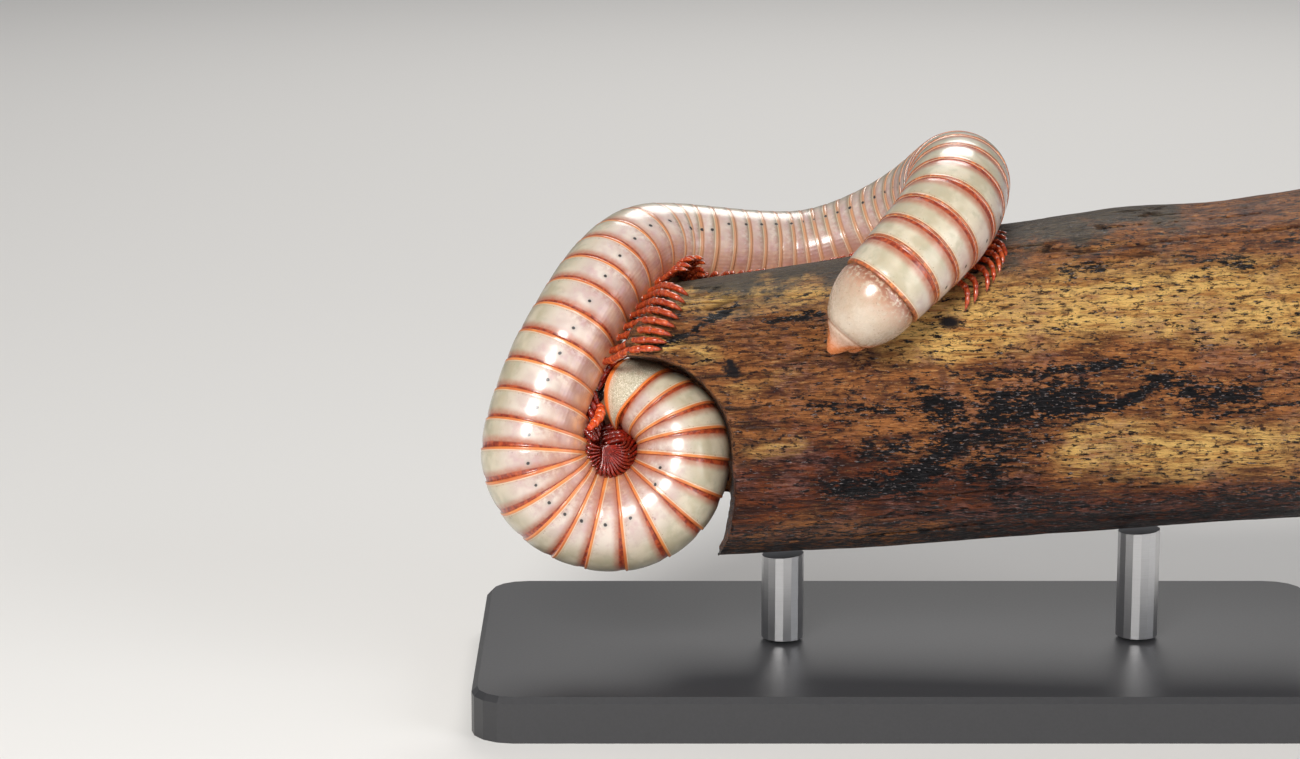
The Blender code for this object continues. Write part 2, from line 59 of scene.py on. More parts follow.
# Branch
AXIS_U = -3.12
AXIS_SLOPE = 0.108
BRANCH_HEIGHT = 9.8
BRANCH_TAPER = 0.042
BRANCH_FLATNESS = 0.82
BRANCH_LEFT = -3.0
BRANCH_RIGHT = 48.4
HOLLOW_BORDER = [             # degrees and distance from the coil's centre
    (-180, 10.6), (-100, 10.8), (-60, 10.7), (-45, 10.4), (-32, 9.7), (-18, 9.0), (-6, 8.72),
    (11, 8.72), (25, 8.55), (40, 8.25), (55, 7.95), (72, 7.45), (86, 7.15), (100, 7.3), (130, 9.5),
    (180, 10.6),
]
HOLLOW_FLOOR = 6.7
CLEAR_OF_ALL = 20.0
BROKEN_END = [                # x and u round the part that is broken off
    (-CLEAR_OF_ALL, -CLEAR_OF_ALL), (7.25, -CLEAR_OF_ALL), (-1.60, 1.70), (-1.75, 2.5),
    (-1.15, 3.6), (-0.20, 4.7), (0.55, 5.6), (1.1, 7.0), (2.8, 12.0), (-CLEAR_OF_ALL, 12.0),
]
BORDER_NEARER = 0.38          # the hollow's border beside the neck, towards the coil
WOOD_VOXEL = 0.17
HUMP_HEIGHT = 0.65

# Body
BODY_RADIUS = 3.5
NECK_NARROWING = 0.215
REAR_SWELLING = 0.03
TAIL_NARROWING = 0.15
RINGS = 54
PITCHES = [                   # ring, its length along the centre line
    (1, 2.05), (2, 1.33), (3, 1.36), (4, 1.16), (5, 1.40), (6, 1.62), (7, 1.58), (8, 1.80),
    (9, 1.90), (10, 1.82), (11, 1.62), (12, 1.50), (14, 1.46), (15, 1.22), (16, 1.42), (17, 1.88),
    (18, 2.02), (21, 1.92), (23, 1.90), (24, 1.80), (26, 1.45), (28, 1.20), (38, 1.20), (44, 1.60),
    (49, 1.90), (54, 2.00),
]
STRETCHED = (25, 46)          # rings that take up the length left over
HEAD_OFFSET = 0.12
HEAD_DROP = 0.22
HEAD_TURN = 0.25
TELSON_LENGTH = 5.6
STANDOFF = 0.6
COIL_CENTRE = (-2.6, -5.1)
COIL_BACK = -3.2
COIL_RADIUS = 4.97
COIL_SPIRAL = 0.85
NECK_ANGLE = 79.0
NECK_PLUNGE = 0.0003
NECK_SLANT = 0.30
COLUMN_NEARER = 0.7
COLUMN_ANGLE = -192.0
BEFORE_NECK = 12.0
GUIDE_STEP = 15.0
FREE_ROLL = -10.0
FREE_SIDE = (-0.88, 0.47)
FREE_GUIDES = [               # x, u, t of the centre line between the coil and the branch
    (-6.88, 0.14, -2.75),
    (-4.92, 3.93, -1.35),
    (-2.72, 7.30, 1.35),
    (-0.55, 9.10, 4.05),
]
BRANCH_GUIDES = [             # x, degrees round the bark from its top, away first
    (1.6, 27.0), (4.6, 32.0), (7.6, 36.5), (11.0, 39.5), (13.6, 38.5), (16.3, 34.5),
    (18.4, 29.0), (20.2, 21.0), (21.4, 10.0), (21.8, -5.0), (21.3, -22.0),
    (20.3, -35.0), (18.4, -46.0), (15.55, -59.0),
]
TAIL_TIP = (12.2, -73.0, 2.3)  # x, degrees round the bark, height above it
ANTENNA_GUIDES = [            # x, u, t of the left one, which lies against the column
    (-3.52, -2.03, -2.55), (-3.55, -2.62, -3.85), (-4.22, -3.40, -5.30),
]
HIDDEN_ANTENNA = [            # outward, down and forward of its base, of the right one
    (0.40, 0.15, 0.0), (0.66, 0.70, 0.05), (0.75, 1.50, 0.20), (0.60, 2.40, 0.45),
]
ANTENNA_JOINTS = (0.0, 0.08, 0.24, 0.40, 0.56, 0.71, 0.86, 1.0)
ANTENNA_GIRTHS = (0.18, 0.25, 0.32, 0.34, 0.34, 0.32, 0.29, 0.18)

# Rings, their rows counted from the front: the covered part, the body and the rim
AROUND = 112
AROUND_TURN = TAU * (np.arange(AROUND) + 0.5) / AROUND - math.pi
COVERED_ROWS = (0.0, 0.55, 1.0)
BODY_ROWS = (0.10, 0.24, 0.42, 0.62, 0.80, 0.93, 1.0)
RIM_ROWS = (0.22, 0.60, 0.92)
RING_HEIGHTS = (-0.09, -0.08, -0.070, -0.030, -0.008, 0.0, 0.012, 0.016, 0.012, -0.006,
                0.012, 0.018, 0.006, -0.04)
SLEEVE_BEFORE = (1.35, 1.15, 0.75, 0.30, 0.08)
SLEEVE_REACH = (0.78, 0.86, 0.90, 0.925, 0.94)
PORE_RINGS = range(6, RINGS)
TELSON_SHAPE = [              # share of the length, share of the radius
    (0.0, 0.90), (0.02, 0.945), (0.05, 0.965), (0.10, 0.97), (0.20, 0.955), (0.32, 0.905),
    (0.46, 0.80), (0.60, 0.65), (0.70, 0.48), (0.78, 0.34), (0.86, 0.245), (0.93, 0.165),
    (0.97, 0.105), (1.0, 0.0),
]
VALVE_RADII = (0.80, 1.02, 1.55)
SKIN_GLOW = (1.0, 0.45, 0.25)
BACK_COLOURS = ((0.46, 0.40, 0.28), (0.60, 0.53, 0.40))
FLANK_ZONES = [               # where each sets in, from 0 on the back to 1 below, and its colours
    (0.24, 0.46, ((0.66, 0.57, 0.50), (0.54, 0.43, 0.38))),
    (0.56, 0.74, ((0.55, 0.35, 0.26), (0.41, 0.235, 0.19))),
    (0.74, 0.90, ((0.74, 0.36, 0.17), (0.60, 0.25, 0.12))),
]

# Collar and head
COLLUM_REACH = 152.0
COLLUM_FRONT_RADIUS = 2.42
HEAD_SHAPES = [               # forward, back and left of the head's place, radii left, forward, back
    ((0.80, 0.05, 0.0), (1.90, 1.40, 2.05)), ((0.95, -0.90, 0.0), (1.55, 1.40, 1.30)),
    ((1.40, -1.55, 0.0), (1.15, 0.75, 0.75)), ((0.45, -1.65, 0.0), (0.90, 1.00, 0.52)),
    ((0.88, -0.93, -1.16), (0.74, 1.02, 1.08)), ((1.05, -1.70, -0.72), (0.50, 0.65, 0.58)),
    ((0.88, -0.93, 1.16), (0.74, 1.02, 1.08)), ((1.05, -1.70, 0.72), (0.50, 0.65, 0.58)),
]
NECK_LENGTHS = (-0.6, 0.0, 0.6, 1.3)
NECK_RADIUS = 1.62
HEAD_VOXEL = 0.075
EYE_SPACING = 0.17
EYE_BEAD = (0.092, 0.092, 0.10)
EYE_BED = (0.70, 0.50, 0.26)

# Legs
FAR_LEGS_END = 19
REACHING_RINGS = range(20, 24)
GRIPPING_FROM = {1: 24, -1: 22}
TRAILING_FROM = 44
CLAW = 0.06
LIMB_PLACES = 80
LIMB_STEPS = 10
LIMB_ROWS = [                 # share of the way to the next joint, swelling, darkness
    (0.02, 0.80, 1.0), (0.12, 0.90, 0.5), (0.40, 1.00, 0.0),
    (0.72, 1.06, 0.0), (0.90, 1.08, 0.3), (0.985, 0.92, 1.0),
]
LEG_JOINTS = (0.0, 0.10, 0.30, 0.50, 0.66, 0.80, 0.95)
LEG_GIRTHS = (0.27, 0.26, 0.255, 0.235, 0.215, 0.19, 0.15)
REACHING_GIRTHS = (0.25, 0.27, 0.28, 0.28, 0.27, 0.25, 0.21)
FAR_GIRTHS = (0.30, 0.34, 0.36, 0.36, 0.34, 0.30, 0.20)
SWIRL_GIRTHS = (0.125, 0.135, 0.128, 0.108, 0.085, 0.062, 0.035)
TUCKED_GIRTHS = (0.20, 0.24, 0.25, 0.24, 0.22, 0.19, 0.12)
# down, out and ahead of the centre line, in shares of the ring's radius
SPREAD_LEG = [(0.78, 0.16, 0.0), (0.98, 0.50, -0.08), (1.22, 0.92, -0.28), (1.52, 1.10, -0.44),
              (1.86, 1.10, -0.50)]
GRIPPING_LEG = [(0.78, 0.16, 0.0), (1.00, 0.36, 0.01), (1.06, 0.66, 0.04), (1.16, 0.88, 0.06),
                (1.36, 1.02, 0.09)]
TRAILING_LEG = [(0.78, 0.16, 0.0), (0.98, 0.50, -0.12), (0.92, 0.86, -0.30), (1.02, 0.99, -0.48),
                (1.20, 1.02, -0.62)]
ABOVE_BARK = (0.30, 0.28, 0.24, 0.10)
# number of the leg, x and u of its tip
REACHED = ((0, 0.90, 2.05), (2, 1.60, 3.00), (5, 2.30, 4.75), (8, 2.95, 6.35))
SWIRL_LEGS = 22
SWIRL_FIRST = 50.0
SWIRL_STEP = 12.4
SWIRL_CENTRE = (-2.80, -5.12)
SWIRL_MEET = (-3.27, -4.60, -4.90)
SWIRL_FAR = (-3.15, -4.65, -1.90)
# degrees clockwise round the coil's hole with depth t, then with the hole's radius there
SWIRL_DEPTH = [(-55, -2.2), (-10, -3.0), (30, -3.6), (100, -4.6), (220, -5.3)]
SWIRL_REACH = [(-55, 1.75), (0, 1.85), (90, 1.75), (220, 1.65)]
TUCKED_LEGS = [               # x, u, t along legs folded between the head and the coil
    ((-1.30, -3.80, -1.50), (-1.95, -3.75, -1.95), (-2.70, -3.80, -2.10), (-3.50, -3.95, -2.20)),
    ((-1.25, -4.05, -1.60), (-1.95, -4.00, -2.30), (-2.70, -4.05, -2.50), (-3.40, -4.25, -2.80)),
    ((-1.15, -4.35, -2.00), (-1.95, -4.25, -2.90), (-2.60, -4.35, -3.30), (-3.20, -4.50, -3.60)),
    ((-1.90, -3.55, -1.20), (-2.50, -3.60, -1.70), (-3.00, -3.70, -1.90), (-3.60, -3.85, -2.00)),
    ((-4.25, -1.50, -3.00), (-3.95, -1.95, -2.90), (-3.72, -2.75, -2.60), (-3.50, -3.70, -2.60)),
    ((-4.35, -2.10, -3.20), (-4.05, -2.50, -3.20), (-3.85, -3.20, -3.20), (-3.55, -4.10, -3.30)),
    ((-4.60, -2.90, -3.50), (-4.30, -3.20, -3.60), (-4.05, -3.70, -3.70), (-3.60, -4.30, -3.80)),
    ((-3.60, -0.10, -2.60), (-3.05, 0.55, -2.30), (-2.55, 1.05, -1.90), (-1.90, 1.45, -1.60)),
    ((-3.30, 0.50, -2.50), (-2.75, 1.00, -2.20), (-2.20, 1.45, -1.80), (-1.50, 1.75, -1.50)),
    ((-3.75, -0.70, -2.60), (-3.35, -0.10, -2.30), (-2.95, 0.30, -2.10), (-2.40, 0.70, -1.90)),
    ((-1.90, -3.30, -1.60), (-2.40, -3.32, -1.90), (-2.90, -3.35, -2.00), (-3.50, -3.50, -2.10)),
    ((-4.75, -3.45, -3.90), (-4.50, -3.60, -4.10), (-4.20, -3.90, -4.20), (-3.80, -4.30, -4.20)),
    ((-4.15, -0.75, -2.90), (-3.95, -1.05, -2.80), (-3.80, -1.45, -2.70), (-3.60, -1.90, -2.60)),
]

# Horn colours: pale, deep and at the claw
ANTENNA_HORN = ((0.85, 0.15, 0.03), (0.62, 0.06, 0.012), (0.62, 0.06, 0.012))
# the legs in the coil: a darker copy of the leg horn, painted shade in the coil's hollow
SHADED_COIL_LEG_HORN = ((0.31, 0.018, 0.006), (0.13, 0.007, 0.004), (0.10, 0.01, 0.005))
LEG_HORN = ((0.62, 0.105, 0.022), (0.33, 0.028, 0.008), (0.16, 0.03, 0.012))

# Marks on the wood
CHAR_AND_SHADE_STROKES = [                   # x, u along each stroke, half width, strength
    (((13.9, -7.4), (17.3, -7.0), (19.6, -5.8), (21.2, -4.2), (23.4, -3.3), (25.2, -2.4),
      (28.6, -1.6)), 1.15, 1.0),
    (((24.0, -2.4), (26.5, -2.0), (28.8, -1.5)), 1.6, 1.1),
    (((19.1, -1.55), (20.3, -2.4), (21.0, -3.6)), 1.2, 0.95),
    (((25.8, -3.4), (24.6, -5.2), (23.4, -6.9), (25.2, -9.2)), 1.9, 0.72),
    (((15.0, -4.8), (17.4, -4.6)), 0.75, 0.85),
    (((22.0, -0.3), (25.2, 0.25), (29.7, 0.7), (32.0, 1.1)), 0.50, 0.80),
    (((28.6, -1.8), (30.4, -2.2), (32.0, -1.8), (33.8, -0.9), (34.9, -0.2)), 0.42, 1.0),
    (((34.9, -0.2), (36.5, -0.4), (37.8, -1.5), (39.9, -1.1), (41.2, -0.7)), 0.85, 0.95),
    (((37.6, -2.2), (39.0, -2.4), (43.3, -1.8), (48.0, -1.9)), 0.35, 0.85),
    (((11.0, -1.8), (14.0, -2.0), (17.3, -2.3)), 0.60, 0.55),
    (((29.6, 7.8), (31.4, 8.0)), 0.60, 0.60), (((37.4, 8.2), (40.2, 7.6)), 0.70, 0.60),
    (((43.5, 9.6), (48.0, 9.8)), 0.40, 0.60),
    (((8.6, 4.3), (10.4, 4.6), (12.0, 4.7)), 0.30, 0.90),
    # a thin dark line along a groove the mesh doesn't carve: painted shade
    (((-1.4, 2.05), (0.6, 2.35), (2.1, 3.05), (4.2, 4.2), (6.3, 5.4)), 0.26, 0.95),
]
YELLOW = [                    # the same of yellow wood, red wood and dark marks
    (((19.0, 3.6), (25.2, 5.0), (32.0, 5.4), (40.0, 5.2), (48.0, 5.6)), 3.1, 1.0),
    (((30.9, -4.8), (37.6, -4.9), (48.0, -4.2)), 2.2, 0.95),
    (((2.5, 6.0), (6.0, 6.3), (11.0, 6.4)), 1.6, 0.95), (((0.5, 2.6), (4.0, 2.2)), 1.0, 0.85),
    (((6.0, -0.8), (9.5, 0.2)), 1.1, 0.55), (((6.8, -5.0), (10.0, -4.6)), 0.7, 0.60),
]
RED = [
    (((6.0, -8.2), (13.0, -6.6), (20.0, -8.4), (30.0, -10.0), (48.0, -9.6)), 3.3, 1.0),
    (((7.0, -2.6), (12.0, -3.6)), 1.6, 0.55),
]
MARKS = [
    (((20.6, 3.95), (20.7, 3.95)), 0.42, 1.0), (((5.5, 1.25), (5.85, 0.25)), 0.20, 1.0),
    (((5.1, 0.85), (5.45, 0.35)), 0.13, 1.0), (((5.85, 0.9), (6.1, 0.5)), 0.10, 1.0),
]
STREAK_BEND = 0.6

# Surroundings
FLOOR_REACH = 3.0
SKY = (0.92, 0.94, 1.0, 1.0)
SKY_STRENGTH = 0.17
LIGHT_TARGET = (-0.015, 0.0, 0.022)
LIGHTS = [                    # name, place and size in metres, power, colour
    ("key", (-0.11, -0.34, 0.25), 0.17, 2.0, (1.0, 0.98, 0.95)),
    ("fill", (0.36, -0.25, 0.16), 0.30, 0.75, (0.97, 0.98, 1.0)),
    ("rim", (0.05, 0.40, 0.40), 0.30, 1.2, (1.0, 0.98, 0.95)),
]
CAMERA_DISTANCE = 260.0
VIEW_WIDTH = 92.43
FILM_WIDTH = 36.0


# Small helpers

def ease(value):
    """0 below 0, 1 above 1 and a smooth step between."""
    value = np.clip(value, 0.0, 1.0)
    return value * value * (3.0 - 2.0 * value)


def blend(a, b, share):
    return a + (b - a) * share


def unit(vectors):
    """Vectors along the last axis, each made one long."""
    vectors = np.asarray(vectors, float)
    return vectors / np.maximum(np.linalg.norm(vectors, axis=-1, keepdims=True), 1e-9)


def swept(first, second, turn):
    """Directions turned from the first of two directions towards the second."""
    return first * np.cos(turn)[..., None] + second * np.sin(turn)[..., None]


def triples(*parts):
    """Three values or arrays, spread to one shape, as triples."""
    return np.stack(np.broadcast_arrays(*parts), axis=-1)


def from_pairs(pairs, place):
    """Value at a place, between pairs of place and value."""
    return np.interp(place, *zip(*pairs))


def looked_up(wanted, places, rows):
    """Rows of three at wanted places, between rows at their own places."""
    return np.stack([np.interp(wanted, places, rows[:, k]) for k in range(3)], axis=1)


def leaning(x, u, t):
    """A place in the leaning plane's coordinates, as a world place."""
    x, u, t = (np.asarray(value, float)[..., None] for value in (x, u, t))
    return PLANE_ORIGIN + ALONG * x + UP * u + AWAY * t


def flat_places(places):
    """World places as x, u and t."""
    relative = np.asarray(places) - PLANE_ORIGIN
    return relative[..., 0], relative @ UP, relative @ AWAY


def noise(places, seed):
    """Smooth noise from -1 to 1 at an array of places."""
    places = np.asarray(places, float)
    cell = np.floor(places).astype(np.int64)
    inside = places - cell
    inside = inside * inside * (3.0 - 2.0 * inside)
    total = np.zeros(places.shape[:-1])
    for corner in itertools.product((0, 1), repeat=3):
        x, y, z = (cell[..., axis] + corner[axis] for axis in range(3))
        mixed = (x * 73856093) ^ (y * 19349663) ^ (z * 83492791) ^ (seed * 40503)
        mixed = ((mixed ^ (mixed >> 13)) * 1274126177) & 0x7FFFFFFF
        mixed = ((mixed ^ (mixed >> 15)) * 668265263) & 0x7FFFFFFF
        weight = np.ones(places.shape[:-1])
        for axis in range(3):
            weight = weight * (inside[..., axis] if corner[axis] else 1.0 - inside[..., axis])
        total += weight * (mixed / 0x3FFFFFFF - 1.0)
    return total


def layered(places, seed, layers=4):
    """Noise with finer noise on it."""
    total = 0.0
    for layer in range(layers):
        total = total + noise(np.asarray(places) * 2.0 ** layer, seed + layer) / 2.0 ** layer
    return total / 1.6


# Branch surface

def axis_u(x):
    return AXIS_U + AXIS_SLOPE * x


def section(x):
    height = BRANCH_HEIGHT + BRANCH_TAPER * x
    return height, height * BRANCH_FLATNESS


def bark_point(x, angle, lift=0.0):
    """A place at a height above the bark and the bark's outward direction there."""
    height, depth = section(x)
    surface = leaning(x, axis_u(x) + height * math.cos(angle), depth * math.sin(angle))
    normal = unit(UP * (math.cos(angle) / height) + AWAY * (math.sin(angle) / depth))
    return surface + normal * lift, normal


def clear_of_bark(place, clearance):
    """The same place, moved out until it is that far outside the bark."""
    x, u, t = (float(value) for value in flat_places(place))
    height, depth = section(x)
    angle = math.atan2(t / depth, (u - axis_u(x)) / height)
    surface, normal = bark_point(x, angle)
    short = clearance - float((place - surface) @ normal)
    return place + normal * max(short, 0.0)


# Centre line

def coil_guide(angle):
    """Centre line and back direction in the coil, at an angle in degrees."""
    opened = ease((-100.0 - angle) / 92.0)
    tightened = ease((angle - 10.0) / 70.0)
    radius = COIL_RADIUS + COIL_SPIRAL * opened - COIL_SPIRAL * tightened
    neck = max(0.0, angle + 10.0)
    t = COIL_BACK - COLUMN_NEARER * ease((-110.0 - angle) / 70.0) + NECK_PLUNGE * neck * neck
    turn = math.radians(angle)
    place = leaning(COIL_CENTRE[0] + radius * math.cos(turn),
                    COIL_CENTRE[1] + radius * math.sin(turn), t)
    outward = ALONG * math.cos(turn) + UP * math.sin(turn)
    roll = math.radians(blend(-9.0, 20.0, ease((angle + 95.0) / 75.0)))
    return place, outward * math.cos(roll) - AWAY * math.sin(roll)


def body_radius(ring):
    """Radius of a ring's rim, counted from 1 at the collar."""
    ring = np.asarray(ring, float)
    narrow = NECK_NARROWING * np.exp(-(ring - 1) / 3.2)
    tail = TAIL_NARROWING * (np.maximum(0.0, ring - 49) / 5.0) ** 1.6
    return BODY_RADIUS * (1.0 - narrow + REAR_SWELLING * ease((ring - 36) / 8.0) - tail)


def guide_points():
    """Places along the body from the collar's front to the tail's tip, with back directions."""
    guides = []
    angle = NECK_ANGLE + BEFORE_NECK
    while angle > COLUMN_ANGLE:
        guides.append(coil_guide(angle))
        angle -= GUIDE_STEP
    roll = math.radians(FREE_ROLL)
    side = unit(ALONG * FREE_SIDE[0] + UP * FREE_SIDE[1])
    for x, u, t in FREE_GUIDES:
        guides.append((leaning(x, u, t), side * math.cos(roll) - AWAY * math.sin(roll)))
    for x, degrees in BRANCH_GUIDES:
        guides.append(bark_point(x, math.radians(degrees), float(body_radius(30)) + STANDOFF))
    guides.append(bark_point(TAIL_TIP[0], math.radians(TAIL_TIP[1]), TAIL_TIP[2]))
    return guides


def spline_between(points, share):
    """Centripetal spline between the middle two of four points."""
    p0, p1, p2, p3 = points
    knots = [0.0]
    for a, b in ((p0, p1), (p1, p2), (p2, p3)):
        knots.append(knots[-1] + max(float(np.linalg.norm(b - a)), 1e-3) ** 0.5)
    t0, t1, t2, t3 = knots
    t = blend(t1, t2, share)
    a1 = blend(p0, p1, (t - t0) / (t1 - t0))
    a2 = blend(p1, p2, (t - t1) / (t2 - t1))
    a3 = blend(p2, p3, (t - t2) / (t3 - t2))
    b1 = blend(a1, a2, (t - t0) / (t2 - t0))
    b2 = blend(a2, a3, (t - t1) / (t3 - t1))
    return blend(b1, b2, (t - t1) / (t2 - t1))


def fine_curve(points, steps):
    """Places along a smooth curve through points, with some steps from each to the next."""
    fine = []
    for index in range(len(points) - 1):
        around = [points[min(max(index + k, 0), len(points) - 1)] for k in (-1, 0, 1, 2)]
        fine += [spline_between(around, step / steps) for step in range(steps)]
    return np.array(fine + [points[-1]])


def walked_along(points):
    """Length of a line up to each of its points."""
    return np.concatenate([[0.0], np.cumsum(np.linalg.norm(np.diff(points, axis=0), axis=1))])


class CentreLine:
    """A smooth curve through the guides, measured from the collar's front, as a fine table."""

    STEPS = 24
    STEP = 0.05
    BEFORE = 3.0
    PLACE_BLUR = 0.45
    BACK_BLUR = 1.2

    def __init__(self):
        guides, backs = zip(*guide_points())
        places = fine_curve(guides, self.STEPS)
        backs = np.array([blend(first, second, step / self.STEPS) for first, second in zip(backs, backs[1:])
                          for step in range(self.STEPS)] + [backs[-1]])
        lengths = walked_along(places)
        collar = coil_guide(NECK_ANGLE)[0]
        lengths -= lengths[np.argmin(np.linalg.norm(places - collar, axis=1))]
        self.total = float(lengths[-1])
        self.grid = np.arange(-self.BEFORE, self.total + self.BEFORE, self.STEP)
        inside = np.clip(self.grid, lengths[0], lengths[-1])
        table = looked_up(inside, lengths, places)
        front = unit(places[1] - places[0])
        tail = unit(places[-1] - places[-3])
        table += np.minimum(self.grid - lengths[0], 0.0)[:, None] * front
        table += np.maximum(self.grid - lengths[-1], 0.0)[:, None] * tail
        table = self.smoothed(table, self.PLACE_BLUR)
        hints = self.smoothed(looked_up(inside, lengths, backs), self.BACK_BLUR)
        rear = unit(np.gradient(table, axis=0))
        rear = unit(self.smoothed(rear, self.PLACE_BLUR))
        back = unit(hints - rear * np.sum(hints * rear, axis=1, keepdims=True))
        self.table = np.concatenate([table, rear, back, np.cross(rear, back)], axis=1)

    def smoothed(self, rows, spread):
        """Rows blurred over a length, with the ends held."""
        reach = int(3 * spread / self.STEP)
        weight = np.exp(-0.5 * (np.arange(-reach, reach + 1) * self.STEP / spread) ** 2)
        weight /= weight.sum()
        first = 2 * rows[0] - rows[reach:0:-1]
        last = 2 * rows[-1] - rows[-2:-reach - 2:-1]
        padded = np.concatenate([first, rows, last])
        return np.stack([np.convolve(padded[:, k], weight, 'valid') for k in range(3)], axis=1)

    def frames(self, lengths):
        """Place, rearward, back and left directions at an array of lengths."""
        position = (np.asarray(lengths, float) + self.BEFORE) / self.STEP
        position = np.clip(position, 0.0, len(self.grid) - 1.001)
        index = position.astype(int)
        share = (position - index)[..., None]
        rows = self.table[index] * (1.0 - share) + self.table[index + 1] * share
        rear, back, left = unit(rows[..., 3:6]), unit(rows[..., 6:9]), unit(rows[..., 9:12])
        lengths = np.asarray(lengths, float)
        slant = NECK_SLANT * ease(lengths / 2.0) * (1.0 - ease((lengths - 1.0) / 7.0))
        back = back * np.cos(slant)[..., None] + rear * np.sin(slant)[..., None]
        return rows[..., 0:3], np.cross(back, left), back, left


def ring_starts(line):
    """Length at which each ring starts, the tail piece's start last."""
    rings = np.arange(1, RINGS + 1)
    pitches = from_pairs(PITCHES, rings)
    loose = (rings >= STRETCHED[0]) & (rings <= STRETCHED[1])
    left_over = line.total - TELSON_LENGTH - pitches.sum()
    pitches[loose] *= 1.0 + left_over / pitches[loose].sum()
    return np.concatenate([[0.0], np.cumsum(pitches)])


LINE = CentreLine()
STARTS = ring_starts(LINE)


# Meshes

class Pile:
    """Points, faces and values at the points, gathered for one mesh."""

    def __init__(self):
        self.points = []
        self.faces = []
        self.values = {}
        self.count = 0

    def add(self, points, faces, **values):
        points = np.asarray(points, float).reshape(-1, 3)
        self.points.append(points)
        self.faces.extend((np.asarray(faces) + self.count).tolist())
        for name, value in values.items():
            value = np.asarray(value, float).reshape(-1, 3)
            self.values.setdefault(name, []).append(np.broadcast_to(value, points.shape))
        self.count += len(points)

    def add_tube(self, points, flip=False, **values):
        """Rows of points round a tube, closed by a cap at each end."""
        rows, around = np.shape(points)[:2]
        start = self.count
        self.add(points, grid_faces(rows, around, flip=flip), **values)
        first = list(range(start, start + around))
        last = list(range(self.count - around, self.count))
        self.faces += [first, last[::-1]] if flip else [first[::-1], last]

    def mesh(self, name, scale=1.0):
        mesh = bpy.data.meshes.new(name)
        mesh.from_pydata((np.concatenate(self.points) * scale).tolist(), [], self.faces)
        for key, parts in self.values.items():
            set_values(mesh, key, np.concatenate(parts))
        return mesh

    def build(self, name, finish, slot):
        return place_mesh(name, self.mesh(name, MM), finish)


def linked(name, data):
    """A new object in the scene."""
    made = bpy.data.objects.new(name, data)
    bpy.context.scene.collection.objects.link(made)
    return made


def set_values(mesh, name, rows):
    layer = mesh.attributes.new(name, 'FLOAT_VECTOR', 'POINT')
    layer.data.foreach_set("vector", np.asarray(rows, np.float32).ravel())


def vectors_of(items, key):
    flat = np.empty(len(items) * 3)
    items.foreach_get(key, flat)
    return flat.reshape(-1, 3)


def place_mesh(name, mesh, finish):
    """An object of a mesh that rides on the part."""
    mesh.validate()
    mesh.shade_smooth()
    mesh.materials.clear()
    mesh.materials.append(finish)
    made = linked(name, mesh)
    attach(made, "root")
    return made


def remeshed(source, voxel, smooth):
    """The mesh of an object after a voxel remesh and some smoothing, in its own units."""
    remesh = source.modifiers.new("remesh", 'REMESH')
    remesh.mode = 'VOXEL'
    remesh.voxel_size = voxel
    soft = source.modifiers.new("smooth", 'SMOOTH')
    soft.factor = 0.5
    soft.iterations = smooth
    view = bpy.context.evaluated_depsgraph_get()
    mesh = bpy.data.meshes.new_from_object(source.evaluated_get(view))
    old = source.data
    bpy.data.objects.remove(source)
    bpy.data.meshes.remove(old)
    return mesh


def ball(centre, axes, radii, rows, around, start=0.35):
    """Rows of points from pole to pole of an ellipsoid on three directions."""
    down = math.pi * (np.arange(rows) + start) / (rows - 1 + 2 * start)
    about = TAU * np.arange(around) / around
    parts = (np.sin(down)[:, None] * np.cos(about), np.sin(down)[:, None] * np.sin(about),
             np.repeat(np.cos(down)[:, None], around, axis=1))
    points = centre
    for axis, radius, part in zip(axes, radii, parts):
        points = points + axis * (part * radius)[..., None]
    return points


def grid_faces(rows, columns, closed=True, flip=False):
    """Quads of a grid of points in row order, its columns joined round if closed."""
    last = columns if closed else columns - 1
    row, column = np.meshgrid(np.arange(rows - 1), np.arange(last), indexing='ij')
    nxt = (column + 1) % columns
    quads = np.stack([row * columns + column, row * columns + nxt,
                      (row + 1) * columns + nxt, (row + 1) * columns + column], axis=-1)
    quads = quads.reshape(-1, 4)
    return quads[:, ::-1] if flip else quads


# Materials

